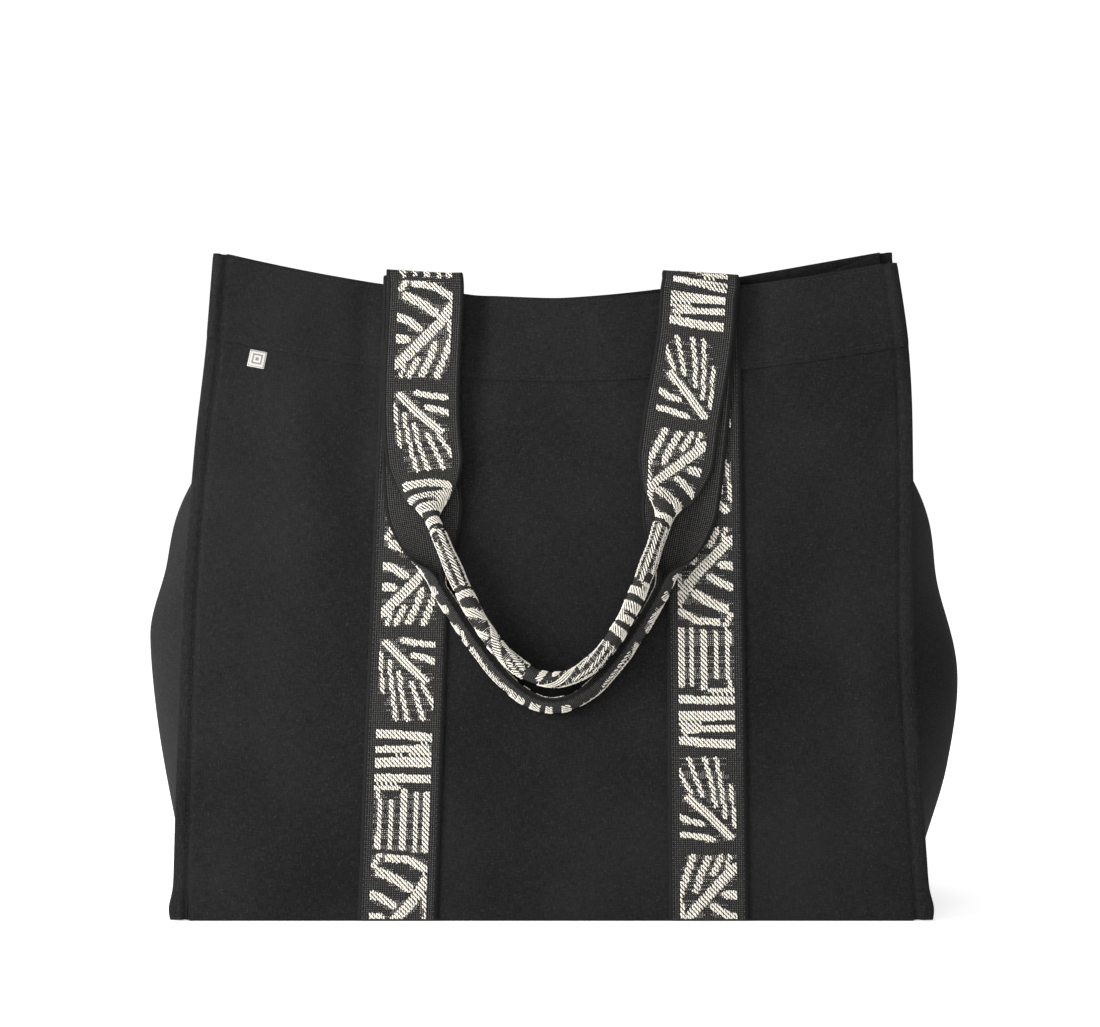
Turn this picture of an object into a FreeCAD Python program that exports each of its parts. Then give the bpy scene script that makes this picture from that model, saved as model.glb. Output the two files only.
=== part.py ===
"""Canvas tote bag: boxed base, folded-in gussets, hem band and two webbing handles lying forward.

Millimetres. +Z up, the front faces -Y, the origin is under the middle of the bag on its resting plane.
"""
import FreeCAD, Part
import math
import os
from FreeCAD import Vector

os.makedirs("parts", exist_ok=True)

# Bag body
BASE_HALF_DEPTH = 95.0
RIM_MIDDLE = 405.0                     # height of the front rim at its middle
RIM_LIFT = {-1: 30.0, 1: 23.5}         # how much higher the rim's corners stand, left and right
BACK_RIM_EXTRA = 9.0                   # the back rim stands this much higher at its right corner
MOUTH_HALF = 6.4                       # half the gap between the rims, at the middle
LEAN_AT_BASE = 0.15                    # slope of the front panel where it leaves the base
CORNER_SPREAD = 14.0                   # the rims part by this much more at each corner
# half width of the front, welts included: (height, half width), left and right
HALF_WIDTH = {
    -1: ((0, 246), (205, 245), (300, 239.5), (371, 233), (435, 230)),
    1: ((0, 240), (164, 234), (279, 236), (365, 235), (435, 228)),
}
# gusset cloth: (height, how far it stands out, how far it folds in)
GUSSET_OUT = {
    -1: ((0, 4), (57, 17), (179, 36), (229, 27), (280, 20), (335, 2), (450, 0)),
    1: ((0, 4), (37, 15), (94, 34), (156, 44), (219, 31), (280, 21), (335, 2), (450, 0)),
}
GUSSET_IN = ((0, 0), (230, 0), (300, 18), (360, 56), (450, 84))
FOLD_SOFTNESS = 0.12                   # how blunt the inward fold is
FOLD_TIP = 5.0                         # half width of its tip
GUSSET_SAG = 16.0                      # its top edge dips this much at the fold

# Cloth
CANVAS = 0.8
HEM_DEPTH = 56.0
HEM_INNER = 1.0                        # the hem band's own offset from the panel's mid surface
WELT_WIDTH = 9.2
WELT_THICKNESS = 2.6
GAP = 0.3                              # clearance between neighbouring sewn pieces
BINDING = (8.0, 1.4)

# Webbing and handles
WEBBING_WIDTH = 50.0
WEBBING = 1.5
STRAP_X = {-1: (-101.6, -90.0), 1: (97.7, 97.6)}   # strap centre at the base and at the rim
SEWN_LOW, SEWN_OVER_HEM = 1.4, 2.8                # mid offset of a sewn strap from the panel
FOLD_RADIUS = 3.0                                  # front handle's fold, mid line
FRONT_FOLD_RISE = 4.6                              # its centre stands this far above the rim
BACK_FOLD_RISE = 11.6                              # top of the back handle's fold, mid line
BACK_KNEE = 4.6                                    # radius at its two knees
HANDLE_OFFSET = {"front": (8.8, 3.8), "back": (10.8, 5.9)}   # near the rim, lower down
PINCH = {"front": (266.0, 210.0), "back": (296.0, 255.0)}      # heights where the strap narrows
# middle of a free strap: (height, x), from the grip up to the fold
FREE_STRAP_X = {
    ("back", -1): ((255, -81), (276, -84), (316, -88.6), (365, -89.7), (430, -90)),
    ("back", 1): ((255, 70), (289, 78), (324, 83.4), (381, 93.7), (430, 97.6)),
    ("front", -1): ((210, -76), (235, -82), (276, -88), (330, -90), (430, -90)),
    ("front", 1): ((210, 69), (240, 77), (289, 85), (350, 92), (430, 97.6)),
}
GRIP_RADIUS = 6.0
CORE_RADIUS = 3.2
# grip route: (x, height, offset from the front panel)
GRIP_ROUTE = {
    "front": ((-74.4, 207.3, 8.9), (-62, 188, 7.4), (-42, 160, 6.9), (-22, 141, 6.9), (-3, 134, 6.9),
              (17, 140, 6.9), (38, 160, 6.9), (57, 188, 7.4), (67.8, 207.2, 8.9)),
    "back": ((-79.8, 252.2, 12.9), (-70, 229, 16.6), (-55, 196, 16.4), (-37, 169, 15.9),
             (-18, 154, 15.3), (0, 149.5, 15.0), (17, 155, 15.3), (34, 171, 15.9), (49, 197, 16.4),
             (61, 228, 16.6), (69.0, 252.2, 12.9)),
}

# Small parts
TAG = (-198.6, 363.5, 11.0, 0.6)       # x, height, side, thickness
TAG_TURN = math.radians(-11)           # it is sewn on a little crooked
SNAP_HEIGHT = 377.0
SNAP_RADIUS, SNAP_THICKNESS = 9.0, 2.0
SNAP_PLATE = (6.0, 0.4)                # radius, thickness

SIDES = {"left": -1, "right": 1}
SAME_WAY = 1                           # a ruled face keeps both its edges' directions


def through(stations, t):
    """Smooth value at t through hand-set stations (t, value)."""
    if t <= stations[0][0]:
        return float(stations[0][1])
    for n in range(len(stations) - 1):
        (a, va), (b, vb) = stations[n], stations[n + 1]
        if t <= b:
            before = stations[max(n - 1, 0)]
            after = stations[min(n + 2, len(stations) - 1)]
            slope_a = (vb - before[1]) / (b - before[0])
            slope_b = (after[1] - va) / (after[0] - a)
            w = (t - a) / (b - a)
            h = b - a
            return (va * (2 * w**3 - 3 * w**2 + 1) + slope_a * h * (w**3 - 2 * w**2 + w)
                    + vb * (3 * w**2 - 2 * w**3) + slope_b * h * (w**3 - w**2))
    return float(stations[-1][1])


def ease(t):
    t = min(1.0, max(0.0, t))
    return t * t * (3 - 2 * t)


def mix(a, b, w):
    return a + (b - a) * w


def rim_height(x, back=False):
    side = 1 if x > 0 else -1
    out = abs(x) / 232.0
    height = RIM_MIDDLE + RIM_LIFT[side] * out**1.7
    if back:
        height += BACK_RIM_EXTRA * ease((x + 60) / 290)
    return height


def panel_y(x, z, back=False):
    """Mid surface of the front or back panel."""
    rise = z / RIM_MIDDLE
    bow = BASE_HALF_DEPTH - MOUTH_HALF - LEAN_AT_BASE * RIM_MIDDLE
    y = -BASE_HALF_DEPTH + LEAN_AT_BASE * z + bow * rise**2
    spread = CORNER_SPREAD * ease((z - 240) / 170) - 5.0 * math.sin(math.pi * min(1, z / 330))
    y -= spread * (abs(x) / 240)**2.4
    return -y if back else y


def half_width(side, z):
    return through(HALF_WIDTH[side], z)


def panel_edge(side, z):
    """x of the line where panel, gusset and welt meet."""
    return side * (half_width(side, z) - WELT_WIDTH)


def panel_point(x, z, back=False):
    return Vector(x, panel_y(x, z, back), z)


def panel_normal(x, z, back=False):
    """Unit normal out of the bag."""
    step = 0.5
    along_x = panel_point(x + step, z, back) - panel_point(x - step, z, back)
    along_z = panel_point(x, z + step, back) - panel_point(x, z - step, back)
    normal = along_x.cross(along_z).normalize()
    return normal * -1 if back else normal


def off_panel(x, z, offset, back=False):
    return panel_point(x, z, back) + panel_normal(x, z, back) * offset


def sheet(surface, low, high, across=9, along=13):
    """Closed solid between two offsets of surface(u, v); low and high are numbers or functions."""
    def offset(value, u, v):
        return value(u, v) if callable(value) else value

    step = 1e-3
    grids = ([], [])
    for i in range(across):
        u = i / (across - 1)
        rows = ([], [])
        for j in range(along):
            v = j / (along - 1)
            du = surface(min(1, u + step), v) - surface(max(0, u - step), v)
            dv = surface(u, min(1, v + step)) - surface(u, max(0, v - step))
            normal = du.cross(dv).normalize()
            for row, value in zip(rows, (low, high)):
                row.append(surface(u, v) + normal * offset(value, u, v))
        for grid, row in zip(grids, rows):
            grid.append(row)
    faces = []
    for grid in grids:
        spline = Part.BSplineSurface()
        spline.interpolate(grid)
        faces.append(spline.toShape())
    for low_edge, high_edge in list(zip(faces[0].Edges, faces[1].Edges)):
        faces.append(Part.makeRuledSurface(low_edge, high_edge, SAME_WAY))
    shell = Part.makeShell(faces)
    shell.sewShape()
    solid = Part.makeSolid(shell)
    solid.fix(1e-3, 1e-3, 1e-3)
    if solid.Volume < 0:
        solid.reverse()
    return solid


def save(name, shape):
    if not shape.isValid():
        print("NOT VALID", name)
    print(f"{name:28s} volume {shape.Volume:10.1f} mm3, {len(shape.Solids)} solid")
    shape.exportStep(f"parts/{name}.step")


# ---- panels, hems, gussets and base

def panel(back, first=0.0, low=-CANVAS / 2, high=CANVAS / 2):
    """A panel, or its top strip from `first` mm below the rim when first is set."""
    def surface(u, v):
        corner_top = rim_height(-232 if u < 0.5 else 232, back)
        x = mix(-1, 1, u) * 232
        top = rim_height(x, back)
        bottom = top - first if first else CANVAS + GAP
        z = mix(bottom, top, v)
        edge_height = z * corner_top / top
        left = panel_edge(-1, edge_height) + GAP
        right = panel_edge(1, edge_height) - GAP
        return panel_point(mix(left, right, u), z, back)
    if back:
        low, high = -high, -low
    return sheet(surface, low, high, across=25, along=31 if not first else 7)


def gusset_point(side, s, z_front, z_back):
    """Gusset between its corners at z_front and z_back; s runs from -1 at the front to 1 at the back."""
    z = mix(z_front, z_back, (s + 1) / 2)
    edge = panel_edge(side, z)
    inset = WELT_THICKNESS / 2 + GAP + CANVAS / 2
    y_front = panel_y(edge, z) + inset
    y_back = panel_y(edge, z, True) - inset
    out = through(GUSSET_OUT[side], z) * (1 - s * s)
    depth = through(GUSSET_IN, z)
    root = math.sqrt(s * s + FOLD_SOFTNESS**2)
    fold = depth * (math.sqrt(1 + FOLD_SOFTNESS**2) - root)
    middle, half = (y_front + y_back) / 2, (y_back - y_front) / 2
    tip = FOLD_TIP * ease(depth / 40)
    y = middle + (half - tip) * s + tip * s / root * math.sqrt(1 + FOLD_SOFTNESS**2)
    sag = GUSSET_SAG * ease((z - 330) / 90) * (1 - s * s)
    return Vector(edge + side * (out - fold), y, z - sag)


def gusset(side, first=0.0, low=-CANVAS / 2, high=CANVAS / 2):
    edge_x = side * 232
    front_top, back_top = rim_height(edge_x), rim_height(edge_x, True)

    def surface(u, v):
        t = mix(-1, 1, u)
        s = t * (0.35 + 0.65 * abs(t))
        front = mix(front_top - first if first else CANVAS + GAP, front_top, v)
        back = mix(back_top - first if first else CANVAS + GAP, back_top, v)
        return gusset_point(side, s, front, back)
    if side < 0:
        low, high = -high, -low
    return sheet(surface, low, high, across=25, along=25 if not first else 5)


def welt(side, back):
    """Pinched seam that stands out sideways from a corner."""
    def surface(u, v):
        top = rim_height(side * 232, back)
        z = mix(CANVAS + GAP, top, v)
        inner = panel_edge(side, z)
        x = mix(inner + side * 0.2, inner + side * WELT_WIDTH, u)
        return Vector(x, panel_y(inner, z, back), z)
    return sheet(surface, -WELT_THICKNESS / 2, WELT_THICKNESS / 2, across=3, along=25)


def base_panel(inset):
    """Flat base inside the welts."""
    left = panel_edge(-1, 0) + inset
    right = panel_edge(1, 0) - inset
    half = BASE_HALF_DEPTH - inset
    return Part.makeBox(right - left, 2 * half, CANVAS, Vector(left, -half, 0))


def base_bindings():
    height, thick = BINDING
    inset = CANVAS / 2 + GAP
    z = CANVAS + GAP
    left = panel_edge(-1, 0)
    right = panel_edge(1, 0)
    y = BASE_HALF_DEPTH - LEAN_AT_BASE * (z + height) - inset - thick
    gusset_inner = inset + WELT_THICKNESS
    solids = {}
    for name, at in (("front", -y - thick), ("back", y)):
        solids[name] = Part.makeBox(right - left - 24, thick, height, Vector(left + 12, at, z))
    for name, at in (("left", left + gusset_inner), ("right", right - gusset_inner - thick)):
        solids[name] = Part.makeBox(thick, 2 * y - 24, height, Vector(at, -y + 12, z))
    return solids


# ---- webbing

def strap_x(side, z):
    low, high = STRAP_X[side]
    return mix(low, high, z / RIM_MIDDLE)


def sewn_offset(x, z, back):
    below = rim_height(x, back) - z
    return mix(SEWN_OVER_HEM, SEWN_LOW, ease((below - HEM_DEPTH - 2) / 12))


def strap_rim(side, back=False):
    return rim_height(strap_x(side, RIM_MIDDLE), back)


def sewn_strap(side, back):
    top = strap_rim(side, back) + (0.2 if back else 1.5)

    def surface(u, v):
        z = mix(CANVAS + GAP, top, v)
        x = strap_x(side, z) + mix(-0.5, 0.5, u) * WEBBING_WIDTH
        y = off_panel(x, z, sewn_offset(x, z, back), back).y
        return Vector(x, y, z)
    return sheet(surface, -WEBBING / 2, WEBBING / 2, across=7, along=41)


def lean(x, z, back=False):
    """Unit direction up the panel at this point, in the YZ plane."""
    step = 1.0
    up = panel_point(x, z + step, back) - panel_point(x, z - step, back)
    up.x = 0
    return up.normalize()


def fold_centre(handle):
    """Hinge centre of a handle, at the mean of its two straps."""
    points = []
    for side in SIDES.values():
        x = strap_x(side, RIM_MIDDLE)
        z = strap_rim(side)
        if handle == "front":
            at = off_panel(x, z, SEWN_OVER_HEM + FOLD_RADIUS)
            points.append(at + lean(x, z) * FRONT_FOLD_RISE)
        else:
            front = off_panel(x, z, HANDLE_OFFSET["back"][0])
            back = off_panel(x, z, SEWN_OVER_HEM, True)
            points.append(Vector(0, (front.y + back.y) / 2, z + 4))
    return Vector(0, (points[0].y + points[1].y) / 2, (points[0].z + points[1].z) / 2)


def handle_offset(handle, x, z):
    """Mid offset of a free strap from the front panel, growing where it narrows to the grip."""
    near, far = HANDLE_OFFSET[handle]
    below = rim_height(x) - z
    base = mix(near, far, ease((below - 10) / 70))
    start, stop = PINCH[handle]
    swell = ease((start - z) / (start - stop))
    return base + swell * (GRIP_ROUTE[handle][0][2] - far)


def free_strap(handle, side):
    """Flat at the top, narrowing and thickening into the end of the grip, square to the grip there."""
    top = strap_rim(side) + 1.0
    start, stop = PINCH[handle]
    route = GRIP_ROUTE[handle] if side < 0 else GRIP_ROUTE[handle][::-1]
    turn = math.atan2(route[1][0] - route[0][0], route[0][1] - route[1][1])

    def surface(u, v):
        level = mix(stop, top, v)
        w = ease((start - level) / (start - stop))
        reach = mix(-1, 1, u) * mix(WEBBING_WIDTH / 2, GRIP_RADIUS - 0.2, w)
        middle = through(FREE_STRAP_X[handle, side], level)
        x = middle + reach * math.cos(turn * w)
        z = level + reach * math.sin(turn * w)
        offset = handle_offset(handle, middle, level)
        return Vector(x, off_panel(mix(x, middle, w), z, offset).y, z)

    def thickness(u, v):
        w = ease((start - mix(stop, top, v)) / (start - stop))
        s = mix(-1, 1, u)
        return mix(WEBBING / 2, GRIP_RADIUS * math.sqrt(max(0.02, 1 - s * s)) - 0.2, w**1.5)

    return sheet(surface, lambda u, v: -thickness(u, v), thickness, across=9, along=33)


def along_path(points, radii, t):
    """Point at share t of a path of straight runs whose knees are rounded by arcs."""
    pieces = []
    at = points[0]
    for n in range(1, len(points) - 1):
        corner = points[n]
        one, two = (points[n - 1] - corner).normalize(), (points[n + 1] - corner).normalize()
        half = one.getAngle(two) / 2
        reach = radii[n - 1] / math.tan(half)
        centre = corner + (one + two).normalize() * (radii[n - 1] / math.sin(half))
        first = corner + one * reach
        pieces.append(((first - at).Length, at, first, None))
        pieces.append((radii[n - 1] * (math.pi - 2 * half), first, corner + two * reach, centre))
        at = corner + two * reach
    pieces.append(((points[-1] - at).Length, at, points[-1], None))
    left = t * sum(piece[0] for piece in pieces)
    for length, first, last, centre in pieces:
        if left <= length + 1e-9:
            break
        left -= length
    share = min(1.0, left / length)
    if centre is None:
        return first + (last - first) * share
    a, b = first - centre, last - centre
    angle = a.getAngle(b)
    return centre + (a * math.sin((1 - share) * angle) + b * math.sin(share * angle)) * (1 / math.sin(angle))


def across_fold(side, u):
    return strap_x(side, RIM_MIDDLE) + mix(-0.5, 0.5, u) * WEBBING_WIDTH


def in_plane(x, vector):
    return Vector(x, vector.y, vector.z)


def front_fold(side):
    """Half turn of webbing round the front handle's hinge line."""
    rim = strap_rim(side)

    def surface(u, v):
        x = across_fold(side, u)
        up = lean(x, rim)
        inner = in_plane(x, off_panel(x, rim, SEWN_OVER_HEM)) + up * 1.8
        outer = in_plane(x, off_panel(x, rim, HANDLE_OFFSET["front"][0])) + up * 1.8
        rise = up * (FRONT_FOLD_RISE + FOLD_RADIUS - 1.8)
        knee = FOLD_RADIUS - 0.01
        return along_path((inner, inner + rise, outer + rise, outer), (knee, knee), v)
    return sheet(surface, -WEBBING / 2, WEBBING / 2, across=5, along=25)


def back_fold(side):
    """The back handle's webbing, up off the back rim, across the mouth and down the front."""
    front_z, back_z = strap_rim(side), strap_rim(side, True)
    top = front_z + BACK_FOLD_RISE

    def surface(u, v):
        x = across_fold(side, u)
        up_back, up_front = lean(x, back_z, True), lean(x, front_z)
        start = in_plane(x, off_panel(x, back_z, SEWN_OVER_HEM, True)) + up_back * 0.5
        stop = in_plane(x, off_panel(x, front_z, HANDLE_OFFSET["back"][0])) + up_front * 1.4
        back_knee = start + up_back * ((top - start.z) / up_back.z)
        front_knee = stop + up_front * ((top - stop.z) / up_front.z)
        return along_path((start, back_knee, front_knee, stop), (BACK_KNEE, BACK_KNEE), v)
    return sheet(surface, -WEBBING / 2, WEBBING / 2, across=5, along=31)


def grip_path(handle):
    """Straight runs joined by tangent arcs."""
    points = [off_panel(x, z, offset) for x, z, offset in GRIP_ROUTE[handle]]
    edges = []
    at = points[0]
    for n in range(1, len(points) - 1):
        before, corner, after = points[n - 1], points[n], points[n + 1]
        run_in, run_out = before - corner, after - corner
        one, two = Vector(run_in).normalize(), Vector(run_out).normalize()
        turn = math.pi - one.getAngle(two)
        reach = 0.45 * min(run_in.Length, run_out.Length)
        radius = reach / math.tan(turn / 2)
        bisector = (one + two).normalize()
        centre = corner + bisector * (radius / math.cos(turn / 2))
        first, last = corner + one * reach, corner + two * reach
        edges.append(Part.LineSegment(at, first).toShape())
        edges.append(Part.Arc(first, centre - bisector * radius, last).toShape())
        at = last
    edges.append(Part.LineSegment(at, points[-1]).toShape())
    return Part.Wire(edges)


def tube(path, radius):
    start = path.Edges[0].valueAt(path.Edges[0].FirstParameter)
    along = path.Edges[0].tangentAt(path.Edges[0].FirstParameter)
    ring = Part.Wire([Part.makeCircle(radius, start, along)])
    return path.makePipeShell([ring], True, False)


# ---- small parts

def panel_disc(x, z, offset, radius, thickness, back=False):
    """Disc flat against a panel; a positive offset is outside the bag."""
    normal = panel_normal(x, z, back)
    start = panel_point(x, z, back) + normal * offset
    return Part.makeCylinder(radius, thickness, start, normal)


def tag():
    x, z, side, thick = TAG
    half = side / 2

    def surface(u, v):
        across, up = mix(-half, half, u), mix(-half, half, v)
        return panel_point(x + across * math.cos(TAG_TURN) - up * math.sin(TAG_TURN),
                           z + across * math.sin(TAG_TURN) + up * math.cos(TAG_TURN))
    return sheet(surface, CANVAS / 2 + 0.1, CANVAS / 2 + 0.1 + thick, across=4, along=4)


def snap(back):
    """Snap half inside the panel and its backing plate between panel and hem band."""
    inside = panel_disc(0, SNAP_HEIGHT, -CANVAS / 2 - 0.05 - SNAP_THICKNESS, SNAP_RADIUS, SNAP_THICKNESS,
                        back)
    plate = panel_disc(0, SNAP_HEIGHT, CANVAS / 2 + 0.04, SNAP_PLATE[0], SNAP_PLATE[1], back)
    return inside, plate


for back, face in ((False, "front"), (True, "back")):
    save(f"{face}_panel", panel(back))
    save(f"{face}_hem_band", panel(back, HEM_DEPTH, HEM_INNER, HEM_INNER + CANVAS))
    inside, plate = snap(back)
    save(f"{face}_snap_half", inside)
    save(f"{face}_snap_plate", plate)
    for name, side in SIDES.items():
        save(f"{face}_{name}_corner_welt", welt(side, back))
        save(f"{face}_{name}_sewn_strap", sewn_strap(side, back))

for name, side in SIDES.items():
    save(f"{name}_gusset", gusset(side))
    save(f"{name}_gusset_hem_band", gusset(side, HEM_DEPTH, HEM_INNER, HEM_INNER + CANVAS))
    save(f"front_handle_{name}_fold", front_fold(side))
    save(f"back_handle_{name}_fold", back_fold(side))

save("base_panel", base_panel(WELT_THICKNESS / 2 + GAP))
for name, solid in base_bindings().items():
    save(f"{name}_base_binding", solid)

for handle in ("front", "back"):
    for name, side in SIDES.items():
        save(f"{handle}_handle_{name}_strap", free_strap(handle, side))
    route = grip_path(handle)
    core = tube(route, CORE_RADIUS)
    save(f"{handle}_handle_grip", tube(route, GRIP_RADIUS).cut(tube(route, CORE_RADIUS + 0.15)))
    save(f"{handle}_handle_core", core)
    print("hinge", handle, fold_centre(handle))

save("woven_tag", tag())
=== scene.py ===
"""Canvas tote bag with folded gussets, a deep hem and two patterned webbing handles, dressed over its frame.

Sizes inside the shape functions are millimetres, +Z up, the front facing -Y. Meshes are metres.
"""
import math
import random

import bpy
import numpy as np
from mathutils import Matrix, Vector


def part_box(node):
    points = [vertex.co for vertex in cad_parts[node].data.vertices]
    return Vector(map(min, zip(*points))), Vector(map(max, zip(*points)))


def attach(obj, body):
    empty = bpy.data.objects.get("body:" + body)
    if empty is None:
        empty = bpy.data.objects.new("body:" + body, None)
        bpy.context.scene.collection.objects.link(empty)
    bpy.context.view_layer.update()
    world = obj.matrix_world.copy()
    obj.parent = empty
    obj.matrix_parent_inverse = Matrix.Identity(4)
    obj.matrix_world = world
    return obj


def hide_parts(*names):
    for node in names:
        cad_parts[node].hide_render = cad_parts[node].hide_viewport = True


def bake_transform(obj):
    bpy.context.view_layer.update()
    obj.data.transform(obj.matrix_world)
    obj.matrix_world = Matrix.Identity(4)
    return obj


bl_info = {
    "name": "Canvas tote bag",
    "version": (1, 0, 0),
    "blender": (4, 5, 0),
    "location": "3D View > Sidebar > Tote bag",
    "description": "Sews the canvas, webbing and small parts of a tote bag over its frame",
    "category": "Object",
}

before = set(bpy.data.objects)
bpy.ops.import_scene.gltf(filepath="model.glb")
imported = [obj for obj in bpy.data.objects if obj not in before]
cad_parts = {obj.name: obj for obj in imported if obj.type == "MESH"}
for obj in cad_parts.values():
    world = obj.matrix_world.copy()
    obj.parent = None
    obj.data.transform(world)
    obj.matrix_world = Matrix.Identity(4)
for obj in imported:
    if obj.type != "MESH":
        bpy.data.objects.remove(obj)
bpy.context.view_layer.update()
MM = 0.001
SIDES = {"left": -1, "right": 1}

# ---- sizes shared with the frame (mm)
BASE_HALF_DEPTH = 95.0
RIM_MIDDLE = 405.0
RIM_LIFT = {-1: 30.0, 1: 23.5}
BACK_RIM_EXTRA = 9.0
MOUTH_HALF = 6.4
LEAN_AT_BASE = 0.15
CORNER_SPREAD = 14.0
CORNER_X = 232.0
LOWEST = 1.1
SEAM_DEPTH = 9.2
PANEL_REACH = -0.3
HEM_REACH = 8.9
HEM_OFFSET = 1.4
EDGE_ROUND = 0.42
# half of the outline of a pinched seam: (out from the corner, towards the viewer)
SEAM_PROFILE = ((-0.6, 0.5), (0.9, 0.35), (1.6, 0.75), (2.6, 1.25), (4.6, 1.3), (6.6, 1.15), (8.2, 0.95),
                (9.1, 0.35))
HALF_WIDTH = {
    -1: ((0, 246), (205, 245), (300, 239.5), (371, 233), (435, 230)),
    1: ((0, 240), (164, 234), (279, 236), (365, 235), (435, 228)),
}
GUSSET_OUT = {
    -1: ((0, 4), (57, 17), (179, 36), (229, 27), (280, 20), (335, 2), (450, 0)),
    1: ((0, 4), (37, 15), (94, 34), (156, 44), (219, 31), (280, 21), (335, 2), (450, 0)),
}
GUSSET_IN = ((0, 0), (230, 0), (300, 18), (360, 56), (450, 84))
FOLD_SOFTNESS = 0.12
HALF_WEBBING = 25.0
FOLD_TIP = 5.0
GUSSET_SAG = 16.0
GUSSET_GAP = 2.0
STRAP_X = {-1: (-101.6, -90.0), 1: (97.7, 97.6)}
SEWN_LOW, SEWN_OVER_HEM = 1.4, 2.8
FOLD_RADIUS = 3.0
FRONT_FOLD_RISE = 4.6
BACK_FOLD_RISE = 11.6
BACK_KNEE = 4.6
HANDLE_OFFSET = {"front": (8.8, 3.8), "back": (10.8, 5.9)}
PINCH = {"front": (266.0, 210.0), "back": (296.0, 255.0)}
FREE_STRAP_X = {
    ("back", -1): ((255, -81), (276, -84), (316, -88.6), (365, -89.7), (430, -90)),
    ("back", 1): ((255, 70), (289, 78), (324, 83.4), (381, 93.7), (430, 97.6)),
    ("front", -1): ((210, -76), (235, -82), (276, -88), (330, -90), (430, -90)),
    ("front", 1): ((210, 69), (240, 77), (289, 85), (350, 92), (430, 97.6)),
}
GRIP_ROUTE = {
    "front": ((-74.4, 207.3, 8.9), (-62, 188, 7.4), (-42, 160, 6.9), (-22, 141, 6.9), (-3, 134, 6.9),
              (17, 140, 6.9), (38, 160, 6.9), (57, 188, 7.4), (67.8, 207.2, 8.9)),
    "back": ((-79.8, 252.2, 12.9), (-70, 229, 16.6), (-55, 196, 16.4), (-37, 169, 15.9),
             (-18, 154, 15.3), (0, 149.5, 15.0), (17, 155, 15.3), (34, 171, 15.9), (49, 197, 16.4),
             (61, 228, 16.6), (69.0, 252.2, 12.9)),
}
BACK_TOP_SHIFT = {-1: 3.0, 1: -1.0}
BACK_TOP_TILT = math.radians(3.5)
GRIP_HALF = {"front": 4.45, "back": 4.85}
GRIP_DEPTH = 10.5
GATHERED_HALF = 16.5
FULLY_ROLLED = 0.97
FACE = {"front": -1, "back": 1}
RIM_BEND = {"front": ((0, -0.0075, 0.42), (0, -0.0135, 0.42)), "back": ((0, 0.009, 0.42), (0, -0.016, 0.42))}
SNAP_X, SNAP_HEIGHT, SNAP_RADIUS = 3.0, 377.0, 12.0
TAG_PLACE = (-198.6, 363.5)
TAG_TURN = math.radians(-11)
TAG_HALF = 5.5
TAG_SEAM = 4.9

# ---- soft folds of the canvas: points (x, height), push out at the first and last point, width
FRONT_FOLDS = (
    (((-127, 408), (-126, 330), (-130, 235)), -3.4, -0.6, 10),
    (((-53, 404), (-51, 350), (-56, 270)), -5.2, -1.0, 11),
    (((58, 404), (57, 388), (46, 377)), -0.9, -0.4, 4.5),
    (((18, 404), (18, 389)), -0.5, -0.2, 4),
    (((-20, 404), (-24, 384)), 0.5, 0.1, 8),
    (((30, 404), (36, 360), (30, 318)), 1.8, 0.4, 16),
    (((136, 404), (139, 340), (134, 260)), -2.2, -0.4, 10),
    (((216, 338), (190, 322), (166, 300)), 3.8, 0.8, 11),
    (((222, 300), (196, 290), (172, 262)), -3.2, -0.8, 11),
    (((-166, 330), (-158, 250), (-140, 168)), 2.8, 0.6, 18),
    (((-178, 385), (-176, 300), (-170, 180)), 3.0, 1.0, 26),
    (((-196, 310), (-188, 250), (-176, 190)), -1.5, -0.2, 16),
    (((-212, 150), (-206, 90), (-210, 30)), 1.3, 0.4, 12),
    (((206, 170), (212, 100), (208, 20)), 1.8, 0.9, 13),
    (((184, 150), (192, 90), (190, 30)), -1.2, -0.4, 12),
    (((0, 60), (10, 110)), 0.8, 0.3, 30),
    (((-30, 300), (-36, 220)), -0.7, -0.2, 22),
    (((40, 280), (46, 190)), 0.8, 0.2, 24),
)
BACK_FOLDS = (
    (((-128, 410), (-130, 320), (-126, 240)), -1.5, -0.2, 10),
    (((-52, 404), (-46, 330)), 1.2, 0.2, 14),
    (((20, 404), (14, 350), (26, 300)), -1.1, -0.2, 12),
    (((138, 412), (134, 330), (140, 250)), -1.4, -0.3, 10),
    (((206, 350), (176, 300), (160, 240)), 1.9, 0.3, 15),
    (((-214, 330), (-184, 280), (-170, 210)), 1.7, 0.4, 15),
    (((-206, 160), (-212, 90), (-206, 24)), 1.4, 0.5, 13),
    (((204, 160), (210, 80), (204, 20)), 1.6, 0.6, 13),
    (((-10, 230), (6, 150)), -1.2, -0.3, 26),
)

# ---- strokes woven into the webbing: points (across, along), width; one repeat is 214 long
REPEAT = 214.0
CELL = 0.25
PATTERN_HALF = 22.0
FLOAT_COLUMNS = range(-12, 13)
PIN_PITCH = 1.25
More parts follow.
